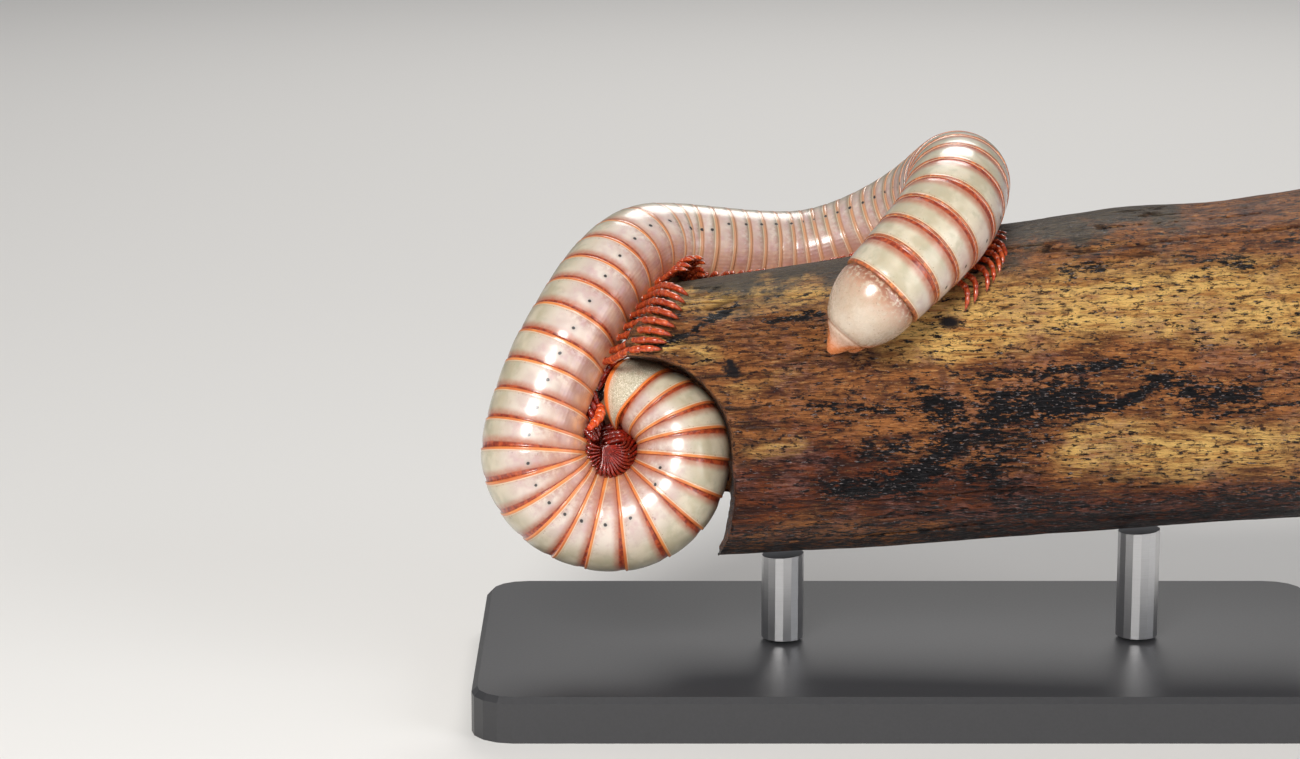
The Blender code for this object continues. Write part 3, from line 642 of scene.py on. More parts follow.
class Shader:
    """A material's nodes, with short ways to add them."""

    def __init__(self, name):
        self.material = bpy.data.materials.new(name)
        self.material.use_nodes = True
        self.tree = self.material.node_tree
        self.surface = self.tree.nodes["Principled BSDF"]

    def feed(self, socket, source):
        if isinstance(source, bpy.types.NodeSocket):
            self.tree.links.new(source, socket)
        elif isinstance(source, tuple) and len(source) == 3 and socket.type == 'RGBA':
            socket.default_value = (*source, 1.0)
        else:
            socket.default_value = source

    def done(self, **inputs):
        """The material, with its surface's inputs given by name."""
        for name, source in inputs.items():
            self.feed(self.surface.inputs[name.replace("_", " ")], source)
        return self.material

    def node(self, kind, **settings):
        made = self.tree.nodes.new(kind)
        for name, value in settings.items():
            setattr(made, name, value)
        return made

    def value(self, name):
        """The three parts of a value kept at the mesh's points."""
        source = self.node("ShaderNodeAttribute", attribute_name=name)
        parts = self.node("ShaderNodeSeparateXYZ")
        self.feed(parts.inputs[0], source.outputs["Vector"])
        return parts.outputs[0], parts.outputs[1], parts.outputs[2]

    def math(self, operation, a, b=0.0, c=0.0):
        made = self.node("ShaderNodeMath", operation=operation)
        for socket, source in zip(made.inputs, (a, b, c)):
            self.feed(socket, source)
        return made.outputs[0]

    def times(self, a, b):
        return self.math('MULTIPLY', a, b)

    def plus(self, a, b):
        return self.math('ADD', a, b)

    def minus(self, a, b):
        return self.math('SUBTRACT', a, b)

    def scaled(self, source, factor, added):
        return self.math('MULTIPLY_ADD', source, factor, added)

    def step(self, source, low, high):
        """0 at low, 1 at high and a smooth step between."""
        made = self.node("ShaderNodeMapRange", interpolation_type='SMOOTHSTEP')
        for name, number in (("From Min", low), ("From Max", high), ("Value", source)):
            self.feed(made.inputs[name], number)
        return made.outputs[0]

    def fall(self, source, low, high):
        """1 at low, 0 at high and a smooth step between."""
        return self.minus(1.0, self.step(source, low, high))

    def mix(self, share, a, b):
        made = self.node("ShaderNodeMix", data_type='RGBA')
        self.feed(made.inputs["Factor"], share)
        sockets = [socket for socket in made.inputs if socket.type == 'RGBA']
        self.feed(sockets[0], a)
        self.feed(sockets[1], b)
        return [socket for socket in made.outputs if socket.type == 'RGBA'][0]

    def tint(self, colour, share, strength, other):
        """A colour with some of another where the share is high."""
        return self.mix(self.times(share, strength), colour, other)

    def place(self, scale=(1.0, 1.0, 1.0), turn=0.0):
        """The object's own coordinates in millimetres, turned about the viewing axis and scaled."""
        source = self.node("ShaderNodeTexCoord")
        mapping = self.node("ShaderNodeMapping")
        mapping.inputs["Rotation"].default_value = (0.0, turn, 0.0)
        mapping.inputs["Scale"].default_value = tuple(part / MM for part in scale)
        self.feed(mapping.inputs["Vector"], source.outputs["Object"])
        return mapping.outputs[0]

    def cloud(self, vector, scale, detail=3.0, rough=0.55, bend=0.0):
        made = self.node("ShaderNodeTexNoise")
        self.feed(made.inputs["Vector"], vector)
        for name, number in (("Scale", scale), ("Detail", detail), ("Roughness", rough),
                             ("Distortion", bend)):
            made.inputs[name].default_value = number
        return made.outputs["Fac"]

    def bump(self, height, distance, strength=1.0):
        made = self.node("ShaderNodeBump")
        made.inputs["Strength"].default_value = strength
        made.inputs["Distance"].default_value = distance * MM
        self.feed(made.inputs["Height"], height)
        return made.outputs[0]


def shell_material(name):
    """Glossy cream horn with red-brown fronts, a thin orange rim and small pores."""
    s = Shader(name)
    to_rim, to_front, flank = s.value("ring")
    pore_x, pore_y, soft = s.value("pore")
    tail, _, _ = s.value("part")
    place = s.place()
    fine = s.cloud(place, 3.2, 4.0)
    broad = s.cloud(place, 0.55, 2.0)
    patchy = s.step(broad, 0.38, 0.64)
    colour = s.mix(patchy, *BACK_COLOURS)
    for low, high, colours in FLANK_ZONES:
        colour = s.mix(s.step(flank, low, high), colour, s.mix(patchy, *colours))
    # olive-grey clouds on the back and mauve ones on the flank
    cloudy = s.step(s.cloud(place, 1.3, 3.0), 0.46, 0.70)
    tint = s.mix(s.step(flank, 0.28, 0.45), (0.40, 0.37, 0.26), (0.52, 0.33, 0.34))
    colour = s.tint(colour, cloudy, 0.55, tint)
    # freckles, denser near the rim
    speck = s.step(s.cloud(place, 7.5, 2.0, 0.5), 0.640, 0.70)
    near_rim = s.fall(to_rim, 0.15, 0.75)
    speck = s.times(speck, s.scaled(near_rim, 0.75, 0.06))
    colour = s.mix(speck, colour, (0.10, 0.04, 0.025))
    # mauve flush behind the red front
    flush = s.fall(s.scaled(tail, -0.28, to_front), 0.02, 0.62)
    flush = s.times(flush, s.scaled(fine, 0.8, 0.48))
    flush = s.times(flush, s.scaled(soft, -0.75, 1.0))
    colour = s.mix(flush, colour, (0.41, 0.155, 0.095))
    # mauve-brown clouds before the rim, low on the flank
    bruise = s.fall(to_rim, 0.30, 1.15)
    bruise = s.times(bruise, s.times(s.step(flank, 0.36, 0.60), s.step(fine, 0.36, 0.62)))
    colour = s.tint(colour, bruise, 0.55, (0.36, 0.155, 0.130))
    # tan shadow before the rim, wider and greyer along the run
    tan = s.fall(to_rim, 0.17, 0.46)
    tan = s.times(tan, s.scaled(fine, 0.55, 0.22))
    colour = s.mix(tan, colour, (0.46, 0.22, 0.11))
    band = s.fall(to_rim, 0.22, 0.62)
    band = s.times(s.times(band, soft), s.minus(1.0, s.times(s.step(flank, 0.50, 0.78), 0.85)))
    colour = s.mix(band, colour, (0.27, 0.215, 0.150))
    # the front, mostly covered by the ring before: its own red-brown, darkened with painted shade under the
    # rim before
    front = s.fall(s.scaled(tail, -0.14, to_front), -0.05, 0.09)
    red = s.mix(s.step(fine, 0.35, 0.7), (0.20, 0.022, 0.010), (0.48, 0.085, 0.022))
    red = s.mix(soft, red, (0.40, 0.20, 0.11))
    colour = s.mix(front, colour, red)
    # rim, with a thin pale line at its foot
    pale = s.times(s.step(to_rim, 0.19, 0.22), s.fall(to_rim, 0.24, 0.28))
    colour = s.tint(colour, pale, 0.55, (0.84, 0.66, 0.44))
    rim = s.fall(to_rim, 0.17, 0.21)
    rim_colour = s.mix(s.step(broad, 0.3, 0.7), (0.74, 0.25, 0.065), (0.56, 0.145, 0.040))
    rim_colour = s.mix(s.times(soft, 0.75), rim_colour, (0.52, 0.30, 0.18))
    rim_colour = s.mix(s.times(tail, s.step(fine, 0.30, 0.60)), rim_colour, (0.30, 0.085, 0.036))
    colour = s.mix(rim, colour, rim_colour)
    # pores
    across = s.plus(s.times(pore_x, pore_x), s.times(pore_y, pore_y))
    distance = s.math('SQRT', across)
    wobble = s.scaled(fine, 0.12, -0.06)
    pore = s.fall(s.plus(distance, wobble), 0.09, 0.15)
    halo = s.fall(distance, 0.12, 0.40)
    colour = s.tint(colour, halo, 0.30, (0.33, 0.30, 0.27))
    colour = s.mix(pore, colour, (0.035, 0.03, 0.03))
    # lengthwise lines on the flank, fine pitting elsewhere
    lines = s.math('SINE', s.times(flank, 230.0))
    lines = s.times(lines, s.times(s.step(flank, 0.54, 0.70), s.step(to_rim, 0.2, 0.4)))
    height = s.plus(s.times(lines, 0.30), s.times(fine, 0.35))
    height = s.minus(height, s.times(pore, 1.2))
    return s.done(Base_Color=colour, Roughness=s.scaled(fine, 0.20, 0.28), Normal=s.bump(height, 0.03, 0.45),
                  Coat_Weight=0.75, Coat_Roughness=0.17, IOR=1.5, Subsurface_Weight=0.15,
                  Subsurface_Scale=0.0006, Subsurface_Radius=SKIN_GLOW)


def collum_material():
    """Finely speckled olive-cream plate with painted sparkle and an orange border."""
    s = Shader("collum_shell")
    edge, _, _ = s.value("border")
    place = s.place()
    fine = s.cloud(place, 6.5, 3.0, 0.6)
    tiny = s.cloud(place, 16.0, 2.0, 0.6)
    broad = s.cloud(place, 0.8, 2.0)
    colour = s.mix(s.step(fine, 0.38, 0.66), (0.42, 0.375, 0.26), (0.60, 0.545, 0.42))
    # pale tiny dots: painted sparkle, glints of light on the plate
    colour = s.mix(s.step(tiny, 0.56, 0.66), colour, (0.92, 0.88, 0.74))
    colour = s.tint(colour, s.step(broad, 0.5, 0.7), 0.35, (0.55, 0.36, 0.26))
    flush = s.fall(edge, 0.12, 0.32)
    colour = s.tint(colour, flush, 0.45, (0.58, 0.30, 0.19))
    border = s.fall(edge, 0.12, 0.17)
    colour = s.mix(border, colour, (0.78, 0.20, 0.040))
    return s.done(Base_Color=colour, Roughness=s.scaled(tiny, 0.35, 0.14),
                  Normal=s.bump(s.plus(fine, s.times(tiny, 0.6)), 0.035, 0.6),
                  Coat_Weight=0.3, Coat_Roughness=0.15, IOR=1.5)


def horn_material(name, pale, deep, dark_tip):
    """Glossy red horn, deeper at the joints, dark at the claws."""
    s = Shader(name)
    along, joint, leg_darkening = s.value("leg")
    place = s.place()
    fine = s.cloud(place, 4.0, 3.0)
    colour = s.mix(s.step(fine, 0.35, 0.68), deep, pale)
    colour = s.tint(colour, s.step(joint, 0.72, 0.98), 0.45, tuple(part * 0.35 for part in deep))
    # darkening per leg: mostly random tone; on the swirl, every second leg's darkening is painted shade
    # parting them into stripes
    colour = s.tint(colour, leg_darkening, 0.35, tuple(part * 0.55 for part in deep))
    colour = s.mix(s.step(along, 0.93, 0.97), colour, dark_tip)
    return s.done(Base_Color=colour, Roughness=s.scaled(fine, 0.16, 0.12), Normal=s.bump(fine, 0.02, 0.5),
                  Coat_Weight=0.5, Coat_Roughness=0.08, IOR=1.5)


def head_material():
    """Glossy tan-brown face with paler cheeks and a red-brown front edge."""
    s = Shader("head_horn")
    down, _, _ = s.value("face")
    place = s.place()
    fine = s.cloud(place, 4.5, 3.0)
    broad = s.cloud(place, 0.9, 2.0)
    colour = s.mix(s.step(broad, 0.35, 0.65), (0.46, 0.33, 0.20), (0.36, 0.20, 0.11))
    colour = s.mix(s.step(down, 0.25, 0.80), colour, (0.40, 0.10, 0.035))
    colour = s.tint(colour, s.step(fine, 0.55, 0.75), 0.35, (0.16, 0.07, 0.03))
    return s.done(Base_Color=colour, Roughness=s.scaled(fine, 0.2, 0.14), Normal=s.bump(fine, 0.03, 0.5),
                  Coat_Weight=0.4, Coat_Roughness=0.1, IOR=1.5)


def eye_material():
    s = Shader("eye_beads")
    fine = s.cloud(s.place(), 9.0, 2.0)
    return s.done(Base_Color=s.mix(fine, (0.006, 0.005, 0.007), (0.035, 0.022, 0.022)),
                  Roughness=s.scaled(fine, 0.12, 0.05), Coat_Weight=0.6, Coat_Roughness=0.04)


def wood_material():
    """Bare weathered wood: yellow and red-brown grain, dark specks, charred and grey patches; a painted mauve
    sheen, painted glints on the char, and painted shade in the cracks, along a groove and on the underside.
    """
    s = Shader("weathered_wood")
    char_and_shade, grey, cut = s.value("stain_and_shade")
    crack, _, rings = s.value("relief")
    yellow, red, mark = s.value("tone")
    turn = math.atan(AXIS_SLOPE)
    long_place = s.place((0.13, 1.0, 1.0), turn)
    mid_place = s.place((0.30, 1.0, 1.0), turn)
    even_place = s.place()
    grain = s.cloud(long_place, 2.2, 7.0, 0.70, 0.2)
    threads = s.cloud(long_place, 10.0, 5.0, 0.74)
    streaks = s.cloud(mid_place, 0.80, 6.0, 0.66, 0.4)
    blotch = s.cloud(even_place, 0.30, 5.0, 0.66)
    specks = s.cloud(mid_place, 4.6, 4.0, 0.70)
    dots = s.cloud(even_place, 2.6, 3.0, 0.60)
    level = s.times(s.minus(streaks, 0.5), 1.5)
    base = s.mix(s.step(grain, 0.36, 0.62), (0.085, 0.026, 0.012), (0.40, 0.150, 0.045))
    red_wood = s.mix(s.step(grain, 0.38, 0.64), (0.026, 0.008, 0.006), (0.20, 0.048, 0.014))
    yellow_wood = s.mix(s.step(grain, 0.34, 0.60), (0.40, 0.160, 0.040), (0.86, 0.54, 0.17))
    colour = s.mix(s.step(s.plus(red, level), 0.35, 0.75), base, red_wood)
    colour = s.mix(s.step(s.plus(yellow, level), 0.25, 0.95), colour, yellow_wood)
    # mauve patches in the grain: painted sheen
    painted_sheen = s.times(s.step(blotch, 0.50, 0.62), s.step(threads, 0.42, 0.60))
    colour = s.tint(colour, painted_sheen, 0.55, (0.26, 0.125, 0.115))
    light_thread = s.times(s.step(threads, 0.55, 0.66), s.scaled(red, -0.45, 0.60))
    colour = s.mix(light_thread, colour, (0.74, 0.43, 0.16))
    colour = s.tint(colour, s.step(threads, 0.47, 0.37), 0.72, (0.040, 0.015, 0.010))
    clusters = s.times(s.step(s.cloud(even_place, 0.75, 4.0, 0.7), 0.54, 0.66), s.step(threads, 0.36, 0.52))
    colour = s.tint(colour, clusters, 0.60, (0.060, 0.024, 0.022))
    colour = s.tint(colour, s.step(specks, 0.530, 0.60), 0.90, (0.034, 0.013, 0.011))
    colour = s.tint(colour, s.step(dots, 0.635, 0.69), 0.85, (0.060, 0.022, 0.015))
    grey_share = s.plus(grey, s.times(s.minus(blotch, 0.5), 2.2))
    grey_colour = s.mix(s.step(threads, 0.40, 0.62), (0.022, 0.019, 0.015), (0.120, 0.095, 0.060))
    colour = s.tint(colour, s.step(grey_share, 0.30, 0.80), 0.94, grey_colour)
    char_level = s.plus(s.times(char_and_shade, 0.62), s.times(level, 0.85))
    char_level = s.plus(char_level, s.times(s.minus(specks, 0.5), 2.6))
    char_level = s.plus(char_level, s.times(s.minus(threads, 0.5), 1.0))
    char_share = s.step(char_level, 0.24, 0.42)
    char_colour = s.mix(s.step(threads, 0.52, 0.66), (0.003, 0.003, 0.004), (0.030, 0.029, 0.033))
    colour = s.mix(char_share, colour, char_colour)
    # pale glints on the char: painted highlights
    painted_glint = s.times(s.step(s.cloud(mid_place, 9.0, 2.0), 0.62, 0.68), s.step(char_level, 0.02, 0.30))
    colour = s.tint(colour, painted_glint, 0.45, (0.42, 0.36, 0.36))
    colour = s.mix(mark, colour, (0.012, 0.010, 0.012))
    # the saw cut's year rings; the cracks darkened near black, painted shade in them
    ring_wave = s.math('SINE', s.times(rings, 9.0))
    cut_colour = s.mix(s.step(ring_wave, -0.4, 0.9), (0.50, 0.27, 0.11), (0.34, 0.15, 0.055))
    cut_colour = s.mix(s.times(s.step(threads, 0.5, 0.7), 0.4), cut_colour, (0.20, 0.09, 0.04))
    colour = s.mix(cut, colour, cut_colour)
    colour = s.tint(colour, crack, 0.9, (0.020, 0.012, 0.010))
    rough = s.minus(s.scaled(threads, 0.6, 0.14), s.times(char_share, 0.10))
    fibre = s.plus(s.times(grain, 0.7), s.times(threads, 0.8))
    fibre = s.plus(fibre, s.times(specks, 0.7))
    return s.done(Base_Color=colour, Roughness=rough, Normal=s.bump(fibre, 0.36), IOR=1.45,
                  Specular_IOR_Level=0.28)


def steel_material():
    s = Shader("satin_steel")
    lines = s.cloud(s.place((1.0, 1.0, 30.0)), 0.7, 3.0)
    return s.done(Base_Color=s.mix(lines, (0.50, 0.50, 0.51), (0.62, 0.62, 0.63)),
                  Roughness=s.scaled(lines, 0.15, 0.26), Normal=s.bump(lines, 0.01, 0.3), Metallic=1.0)


def paint_material():
    s = Shader("black_paint")
    fine = s.cloud(s.place(), 5.0, 3.0)
    return s.done(Base_Color=s.mix(fine, (0.030, 0.030, 0.032), (0.042, 0.042, 0.045)),
                  Roughness=s.scaled(fine, 0.10, 0.36), Normal=s.bump(fine, 0.01, 0.5))


# Rings

def outline(turn, ring=RINGS):
    """Share of the radius at an angle from the back. The belly is a little flat, but full in the coil."""
    full = 0.15 * ease((ring - 10.5) / 2.5) * (1.0 - ease((ring - 15.8) / 1.6))
    flat = 0.09 * ease((ring - 16.5) / 1.5) - full
    return 1.0 - flat * ease((np.abs(turn) - 2.0) / 0.8)


def ring_profile(pitch, mean_pitch):
    """Distances from the ring's front edge, heights above its radius and the covered length."""
    tight = np.clip(pitch / mean_pitch, 0.2, 1.0)
    covered = np.clip(0.10 + 0.28 * (pitch - mean_pitch), 0.04, 0.36) * np.minimum(1.0, tight * 1.2)
    rim = np.minimum(0.21, 0.25 * pitch)
    body = pitch - covered - rim
    distances = [covered * share for share in COVERED_ROWS]
    distances += [covered + body * share for share in BODY_ROWS]
    distances += [covered + body + rim * share for share in RIM_ROWS]
    heights = np.array(RING_HEIGHTS)[:, None] * (0.45 + 0.55 * tight)
    return np.stack([*distances, pitch]), heights, covered


def build_rings(finish):
    """All the trunk's rings as one skin, with a narrow sleeve inside the collar."""
    turn = AROUND_TURN
    place, _, back, left = LINE.frames(STARTS[1] - np.array(SLEEVE_BEFORE))
    reach = float(body_radius(1)) * np.array(SLEEVE_REACH)
    direction = swept(back[:, None], left[:, None], turn)
    rows = [place[:, None] + direction * (reach[:, None] * outline(turn, 2))[..., None]]
    hidden = np.zeros(direction.shape)
    values, pores, parts = [hidden + (9.0, -1.0, 0.5)], [hidden + (9.0, 9.0, 0.0)], [hidden]
    for ring in range(2, RINGS + 1):
        start, end = STARTS[ring - 1], STARTS[ring]
        mean_pitch = end - start
        radius = float(body_radius(ring))
        around = outline(turn, ring)
        edges = []
        for length in (start, end):
            place, _, back, left = LINE.frames(length)
            edges.append(place + swept(back, left, turn) * radius * around[:, None])
        pitch = np.linalg.norm(edges[1] - edges[0], axis=1)
        distances, heights, covered = ring_profile(pitch, mean_pitch)
        share = distances / pitch
        place, _, back, left = LINE.frames(start + share * mean_pitch)
        soft = float(ease((ring - 23) / 4.0) * (1.0 - ease((ring - 43) / 4.0)))
        tail = float(ease((ring - 42) / 4.0))
        front_radius = blend(float(body_radius(ring - 1)), radius, np.clip(share, 0.0, 1.0))
        reach = front_radius * around + heights * (1.0 - 0.45 * soft)
        rows.append(place + swept(back, left, turn) * reach[..., None])
        values.append(triples(pitch - distances, distances - covered, np.abs(turn) / math.pi))
        pore_turn, pore_share = (97.0, 0.55) if ring < 30 else (88.0, 0.64)
        off_around = (np.abs(turn) - math.radians(pore_turn)) * radius
        off_around = off_around + (0.0 if ring in PORE_RINGS else 9.0)
        pores.append(triples(off_around, distances - pore_share * mean_pitch, soft))
        parts.append(np.zeros(reach.shape + (3,)) + (tail, 0.0, 0.0))
    pile = Pile()
    pile.add_tube(np.concatenate(rows), ring=np.concatenate(values), pore=np.concatenate(pores),
                  part=np.concatenate(parts))
    skin = pile.build("trunk_skin", finish, "cream_plate")
    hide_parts("trunk_neck", "trunk_coil", "trunk_column", "trunk_bend", "trunk_run",
                "trunk_climb", "trunk_arch", "trunk_rear")


def build_telson(finish):
    """The tail piece: a rounded cone with a pointed end that overhangs two valves."""
    turn = AROUND_TURN
    shares = np.linspace(0.0, 0.985, 46)
    reach = from_pairs(TELSON_SHAPE, shares)
    reach = np.convolve(np.pad(reach, 2, 'edge'), [0.1, 0.2, 0.4, 0.2, 0.1], 'valid')
    crease = 0.13 * np.exp(-((shares - 0.66) / 0.018) ** 2)
    place, _, back, left = LINE.frames(STARTS[-1] + TELSON_LENGTH * shares)
    height = float(body_radius(RINGS)) * reach[:, None] * outline(turn)
    height = height - crease[:, None] * (0.4 + 0.6 * np.clip(np.cos(turn), 0.0, 1.0))
    points = place[:, None] + swept(back[:, None], left[:, None], turn) * height[..., None]
    along = (shares * TELSON_LENGTH)[:, None]
    pile = Pile()
    pile.add_tube(points, tail=triples(along, TELSON_LENGTH - along, np.abs(turn) / math.pi))
    telson = pile.build("telson_skin", finish, "cream_plate")
    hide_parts("telson")
    place, rear, back, left = LINE.frames(STARTS[-1] + TELSON_LENGTH * 0.55)
    valves = Pile()
    for side in (-1, 1):
        centre = place - back * 1.15 + left * (0.70 * side) + rear * 0.1
        points = ball(centre, (left, back, rear), VALVE_RADII, 24, 32, start=0.5)
        inward = (points - centre) @ left / VALVE_RADII[0] * side
        gap = np.clip(1.0 - np.abs(inward + 0.75) / 0.35, 0.0, 1.0)
        valves.add_tube(points, flip=True, tail=triples(3.0, 2.0, 0.75 + 0.25 * gap))
    valves.build("anal_valves", finish, "cream_plate")


def telson_material():
    s = Shader("telson_shell")
    along, to_tip, flank = s.value("tail")
    place = s.place()
    fine = s.cloud(place, 3.6, 4.0)
    broad = s.cloud(place, 0.6, 2.0)
    colour = s.mix(s.step(broad, 0.35, 0.68), (0.50, 0.38, 0.28), (0.56, 0.46, 0.36))
    flush = s.times(s.fall(along, 0.2, 1.9), s.step(fine, 0.30, 0.60))
    colour = s.tint(colour, flush, 0.80, (0.42, 0.19, 0.11))
    brown = s.times(s.fall(along, 0.05, 0.85), s.step(fine, 0.38, 0.54))
    colour = s.tint(colour, brown, 0.75, (0.22, 0.065, 0.035))
    pink = s.step(s.plus(s.times(to_tip, -1.0), s.times(flank, 1.2)), -2.2, -0.9)
    colour = s.tint(colour, pink, 0.55, (0.68, 0.30, 0.18))
    past_flank = s.math('MAXIMUM', s.minus(flank, 0.16), 0.0)
    reach = s.minus(to_tip, s.times(past_flank, 5.4))
    tip = s.fall(s.plus(reach, s.times(fine, 0.5)), 0.8, 1.5)
    colour = s.tint(colour, tip, 0.9, (0.62, 0.19, 0.055))
    # darker along the crease: painted shade in it
    off_crease = s.math('ABSOLUTE', s.minus(to_tip, 1.90))
    crease_shade = s.fall(off_crease, 0.02, 0.10)
    colour = s.tint(colour, crease_shade, 0.55, (0.30, 0.12, 0.06))
    low = s.step(flank, 0.80, 0.95)
    colour = s.tint(colour, low, 0.6, (0.66, 0.22, 0.08))
    speck = s.step(s.cloud(place, 6.0, 2.0), 0.66, 0.71)
    colour = s.tint(colour, speck, 0.4, (0.20, 0.08, 0.04))
    return s.done(Base_Color=colour, Roughness=s.scaled(fine, 0.25, 0.15), Normal=s.bump(fine, 0.02, 0.30),
                  Coat_Weight=0.55, Coat_Roughness=0.15, IOR=1.5, Subsurface_Weight=0.12,
                  Subsurface_Scale=0.0006, Subsurface_Radius=SKIN_GLOW)


# Collar and head

def build_collum(finish):
    """A bent plate over the back and flanks, narrowed to a rounded lobe on each side."""
    reach = math.radians(COLLUM_REACH)
    across, along = 150, 40
    turn = np.linspace(-reach, reach, across + 1)[:, None]
    share = np.linspace(0.0, 1.0, along + 1)
    narrow = ease((np.abs(turn) - math.radians(60.0)) / math.radians(80.0))
    front = 0.05 + 0.18 * narrow * STARTS[1]
    rear = np.maximum(STARTS[1] + 0.06 - 0.20 * narrow * STARTS[1], front + 0.5)
    lobe = ((np.abs(turn) / reach - 0.86) / 0.14).clip(0.0, 1.0)
    half = (rear - front) / 2 * np.sqrt(np.clip(1.0 - lobe ** 2, 0.0, 1.0))
    place, _, back, left = LINE.frames((front + rear) / 2 + half * (2.0 * share - 1.0))
    direction = swept(back, left, turn)
    dome = np.sqrt(np.clip(1.0 - ((1.0 - share) / 1.04) ** 3.2, 0.0, 1.0))
    radius = blend(COLLUM_FRONT_RADIUS, float(body_radius(1)) + 0.05, dome)
    step = np.linalg.norm(np.diff(place + direction * radius[:, None], axis=1), axis=-1)
    walked = np.concatenate([np.zeros((across + 1, 1)), np.cumsum(step, axis=1)], axis=1)
    edge = np.minimum(walked * 0.30, (walked[:, -1:] - walked) * 0.8)
    edge = np.minimum(edge, (reach - np.abs(turn)) * 2.6)
    bead = 0.035 * np.exp(-((edge - 0.09) / 0.07) ** 2) - 0.03 * np.exp(-((edge - 0.24) / 0.05) ** 2)
    thickness = 0.16 + 0.12 * np.clip(edge, 0.0, 1.0)
    sheets = [place + direction * (radius + bead)[..., None],
              place + direction * (radius - thickness)[..., None]]
    count = along + 1
    base = (across + 1) * count
    quads = grid_faces(across + 1, count, closed=False)
    border = triples(edge, 0.0, 0.0)
    pile = Pile()
    pile.add(sheets, np.concatenate([quads, quads[:, ::-1] + base]), border=[border, border * 0.0])
    ring = ([(i, 0) for i in range(across)] + [(across, j) for j in range(along)]
            + [(i, along) for i in range(across, 0, -1)] + [(0, j) for j in range(along, 0, -1)])
    for (i, j), (k, m) in zip(ring, ring[1:] + ring[:1]):
        a, b = i * count + j, k * count + m
        pile.faces.append([b, a, a + base, b + base])
    plate = pile.build("collum_plate", finish, "cream_plate")
    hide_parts("collum")


def head_frame():
    """The head's own place and directions: forward, back and left."""
    place, rear, back, left = LINE.frames(0.0)
    forward = -rear * math.cos(HEAD_TURN) - left * math.sin(HEAD_TURN)
    return place - left * HEAD_OFFSET - back * HEAD_DROP, forward, back, np.cross(back, forward)


def build_head(finish):
    """A domed capsule with cheeks, a notched lip, mouthparts below and a neck under the collar."""
    place, forward, back, left = head_frame()
    built = bmesh.new()
    for (ahead, up, aside), radii in HEAD_SHAPES:
        centre = place + forward * ahead + back * up + left * aside
        made = bmesh.ops.create_uvsphere(built, u_segments=40, v_segments=28, radius=1.0)
        for vert in made["verts"]:
            spot = np.array(vert.co)
            vert.co = Vector(centre + sum(axis * radius * part for axis, radius, part
                                          in zip((left, forward, back), radii, spot)))
    where, _, up, aside = LINE.frames(np.array(NECK_LENGTHS))
    neck = Pile()
    neck.add_tube(where[:, None] + swept(up[:, None], aside[:, None], TAU * np.arange(40) / 40) * NECK_RADIUS)
    mesh = neck.mesh("neck")
    built.from_mesh(mesh)
    built.to_mesh(mesh)
    built.free()
    mesh = remeshed(linked("head_parts", mesh), HEAD_VOXEL, 6)
    points, normals = vectors_of(mesh.vertices, "co"), vectors_of(mesh.vertex_normals, "vector")
    relative = points - place
    b, s = relative @ back, relative @ left
    facing = np.clip(normals @ forward, 0.0, 1.0)
    suture = np.exp(-(s / 0.045) ** 2) * ease((b + 0.9) / 1.2) * facing
    lip = np.exp(-((b + 1.42 - 0.10 * s * s) / 0.07) ** 2) * facing
    cheek = np.exp(-((np.abs(s) - 1.15 - 0.12 * (b + 1.0)) / 0.06) ** 2) * ease((-0.2 - b) / 0.4)
    notch = np.exp(-(s / 0.22) ** 2) * np.exp(-((b + 2.15) / 0.25) ** 2) * facing
    pits = facing * sum(np.exp(-(((s - pit) / 0.06) ** 2 + ((b + 1.72) / 0.06) ** 2))
                        for pit in (-0.75, -0.25, 0.25, 0.75))
    sunk = 0.05 * suture + 0.09 * lip + 0.08 * cheek + 0.20 * notch + 0.06 * pits
    sunk = sunk - 0.012 * layered(points * 1.6, 21, 3)
    points = points - normals * sunk[:, None]
    for side in (-1, 1):
        for centre, radius, depth in ((eye_centre(side)[0], 0.62, 0.05),
                                      (antenna_root(side)[0], 0.42, 0.22)):
            away = np.linalg.norm(points - centre, axis=1)
            points = points - normals * (depth * (1.0 - ease(away / radius)))[:, None]
    mesh.vertices.foreach_set("co", (points * MM).ravel())
    set_values(mesh, "face", triples(ease((-b - 0.6) / 1.6), facing, s))
    head = place_mesh("head_capsule", mesh, finish)
    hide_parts("head")


def eye_centre(side):
    """Middle of an eye patch and its directions: up, out and forward."""
    place, forward, back, left = head_frame()
    centre = place + forward * 0.62 + back * 0.50 + left * (1.74 * side)
    out = unit(left * side * 0.9 + forward * 0.30 + back * 0.30)
    along = unit(back - out * (back @ out))
    return centre, along, out, np.cross(out, along)


def build_eyes(finish):
    """Rows of small beads in a rounded triangle on each side of the head."""
    for name, side in (("left", 1), ("right", -1)):
        centre, along, out, across = eye_centre(side)
        axes = (along, across, out)
        pile = Pile()
        for row in range(-3, 4):
            for column in range(-4, 5):
                a = (column + 0.5 * (row % 2)) * EYE_SPACING
                c = row * EYE_SPACING * 0.87
                if (a / 0.66) ** 2 + (c / 0.46) ** 2 > 1.0:
                    continue
                lift = 0.24 * math.sqrt(max(0.0, 1.0 - (a / 0.80) ** 2 - (c / 0.62) ** 2))
                spot = centre + along * a + across * c + out * (lift - 0.02)
                pile.add_tube(ball(spot, axes, EYE_BEAD, 7, 10), flip=True)
        pile.add_tube(ball(centre + out * -0.06, axes, EYE_BED, 16, 32), flip=True)
        eye = pile.build("eye_beads_" + name, finish, "eye_black")
        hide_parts("eye_" + name)


# Jointed limbs

def curve_through(points, count):
    """A smooth curve through a few points, at an even count of places."""
    fine = fine_curve([np.asarray(point, float) for point in points], LIMB_STEPS)
    walked = walked_along(fine)
    return looked_up(np.linspace(0.0, walked[-1], count), walked, fine)


